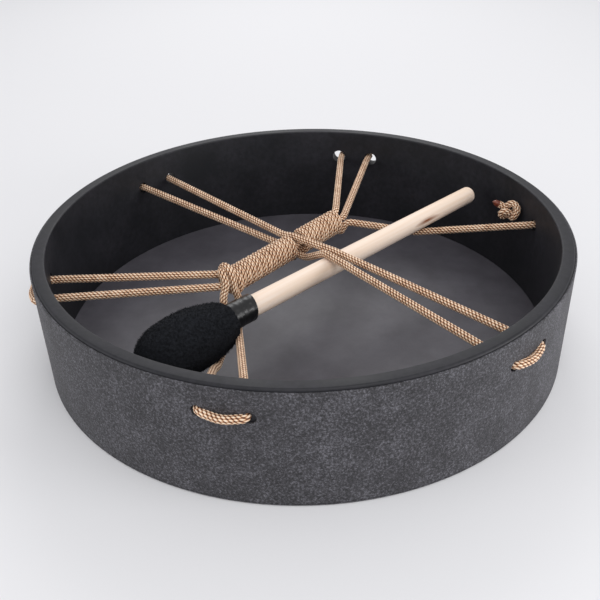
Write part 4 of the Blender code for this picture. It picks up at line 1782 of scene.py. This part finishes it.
@dataclass
class Studio:
    """Pale floor, soft lamps and the camera."""

    camera_place: Place = (-0.0029, -0.5609, 0.3821)
    camera_pitch: float = 32.757
    camera_roll: float = -1.664
    lens: float = 48.706
    half_pixel: float = 0.5 / 600
    floor_colour: str = "#E6E6E8"
    floor_side: float = 12.0
    floor_height: float = -0.0002
    surround_colour: str = "#F1F1F3"
    surround_strength: float = 0.76
    lamp_aim: Place = (0.0, 0.0, 0.04)
    lamps: tuple[Softbox, ...] = (
        Softbox("back_softbox", (0.00, 1.35, 1.15), 0.8, 6.5),
        Softbox("front_softbox", (0.30, -1.05, 1.48), 1.4, 10.5),
        Softbox("right_softbox", (1.15, -0.45, 0.34), 0.5, 5.0),
        Softbox("left_softbox", (-1.15, -0.40, 0.42), 0.5, 2.0))

    def build_floor(self) -> None:
        """Builds the floor, which keeps the object's shadow."""
        shape = bmesh.new()
        bmesh.ops.create_grid(shape, x_segments=1, y_segments=1, size=self.floor_side / 2)
        mesh = made_mesh(shape, "floor")
        material, shader, tree = new_material("pale_floor")
        plug(tree, shader, {"Base Color": srgb(self.floor_colour), "Roughness": 0.9,
                            "Specular IOR Level": 0.1})
        mesh.materials.append(material)
        floor = bpy.data.objects.new("floor", mesh)
        floor.location.z = self.floor_height
        bpy.context.scene.collection.objects.link(floor)
        floor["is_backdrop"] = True

    def build_world(self) -> None:
        """Builds an even pale surround."""
        world = bpy.data.worlds.new("surround")
        world.use_nodes = True
        plug(world.node_tree, world.node_tree.nodes["Background"],
             {"Color": srgb(self.surround_colour), "Strength": self.surround_strength})
        bpy.context.scene.world = world

    def build_lamps(self) -> None:
        """Hangs the lamps, all of them aimed at the drum."""
        for box in self.lamps:
            lamp = bpy.data.lights.new(box.name, "AREA")
            lamp.shape = "SQUARE"
            lamp.size = box.side
            lamp.energy = box.power
            stand = bpy.data.objects.new(box.name, lamp)
            stand.location = box.place
            way = Vector(self.lamp_aim) - Vector(box.place)
            stand.rotation_euler = way.to_track_quat("-Z", "Y").to_euler()
            bpy.context.scene.collection.objects.link(stand)

    def build_camera(self) -> None:
        """Builds the camera where the photograph was taken from."""
        pitch = math.radians(self.camera_pitch)
        forward = Vector((0.0, math.cos(pitch), -math.sin(pitch)))
        data = bpy.data.cameras.new("camera")
        data.sensor_width = 36.0
        data.lens = self.lens
        data.clip_start = 0.01
        data.shift_x, data.shift_y = -self.half_pixel, self.half_pixel
        camera = bpy.data.objects.new("camera", data)
        camera.location = self.camera_place
        camera.rotation_mode = "QUATERNION"
        camera.rotation_quaternion = forward.to_track_quat("-Z", "Y") @ Quaternion(
            (0, 0, 1), math.radians(self.camera_roll))
        bpy.context.scene.collection.objects.link(camera)
        bpy.context.scene.camera = camera

    def build(self) -> None:
        """Builds the whole studio."""
        self.build_floor()
        self.build_world()
        self.build_lamps()
        self.build_camera()
        bpy.context.scene.view_settings.view_transform = "Standard"


def corners() -> list[list[float]]:
    """Lowest and highest corner of what is shown, as plain lists."""
    return [list(corner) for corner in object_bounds()]


def main() -> None:
    """Builds every sub-assembly in order."""
    logging.basicConfig(level=logging.INFO, format="%(message)s")
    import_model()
    sizes = HoopSizes()
    mallet = Mallet()
    for part in (DrumShell(sizes), mallet, Lacing(sizes, mallet), Studio()):
        part.build()
        log.info("built %s", type(part).__name__)


if __name__ == "__main__":
    main()
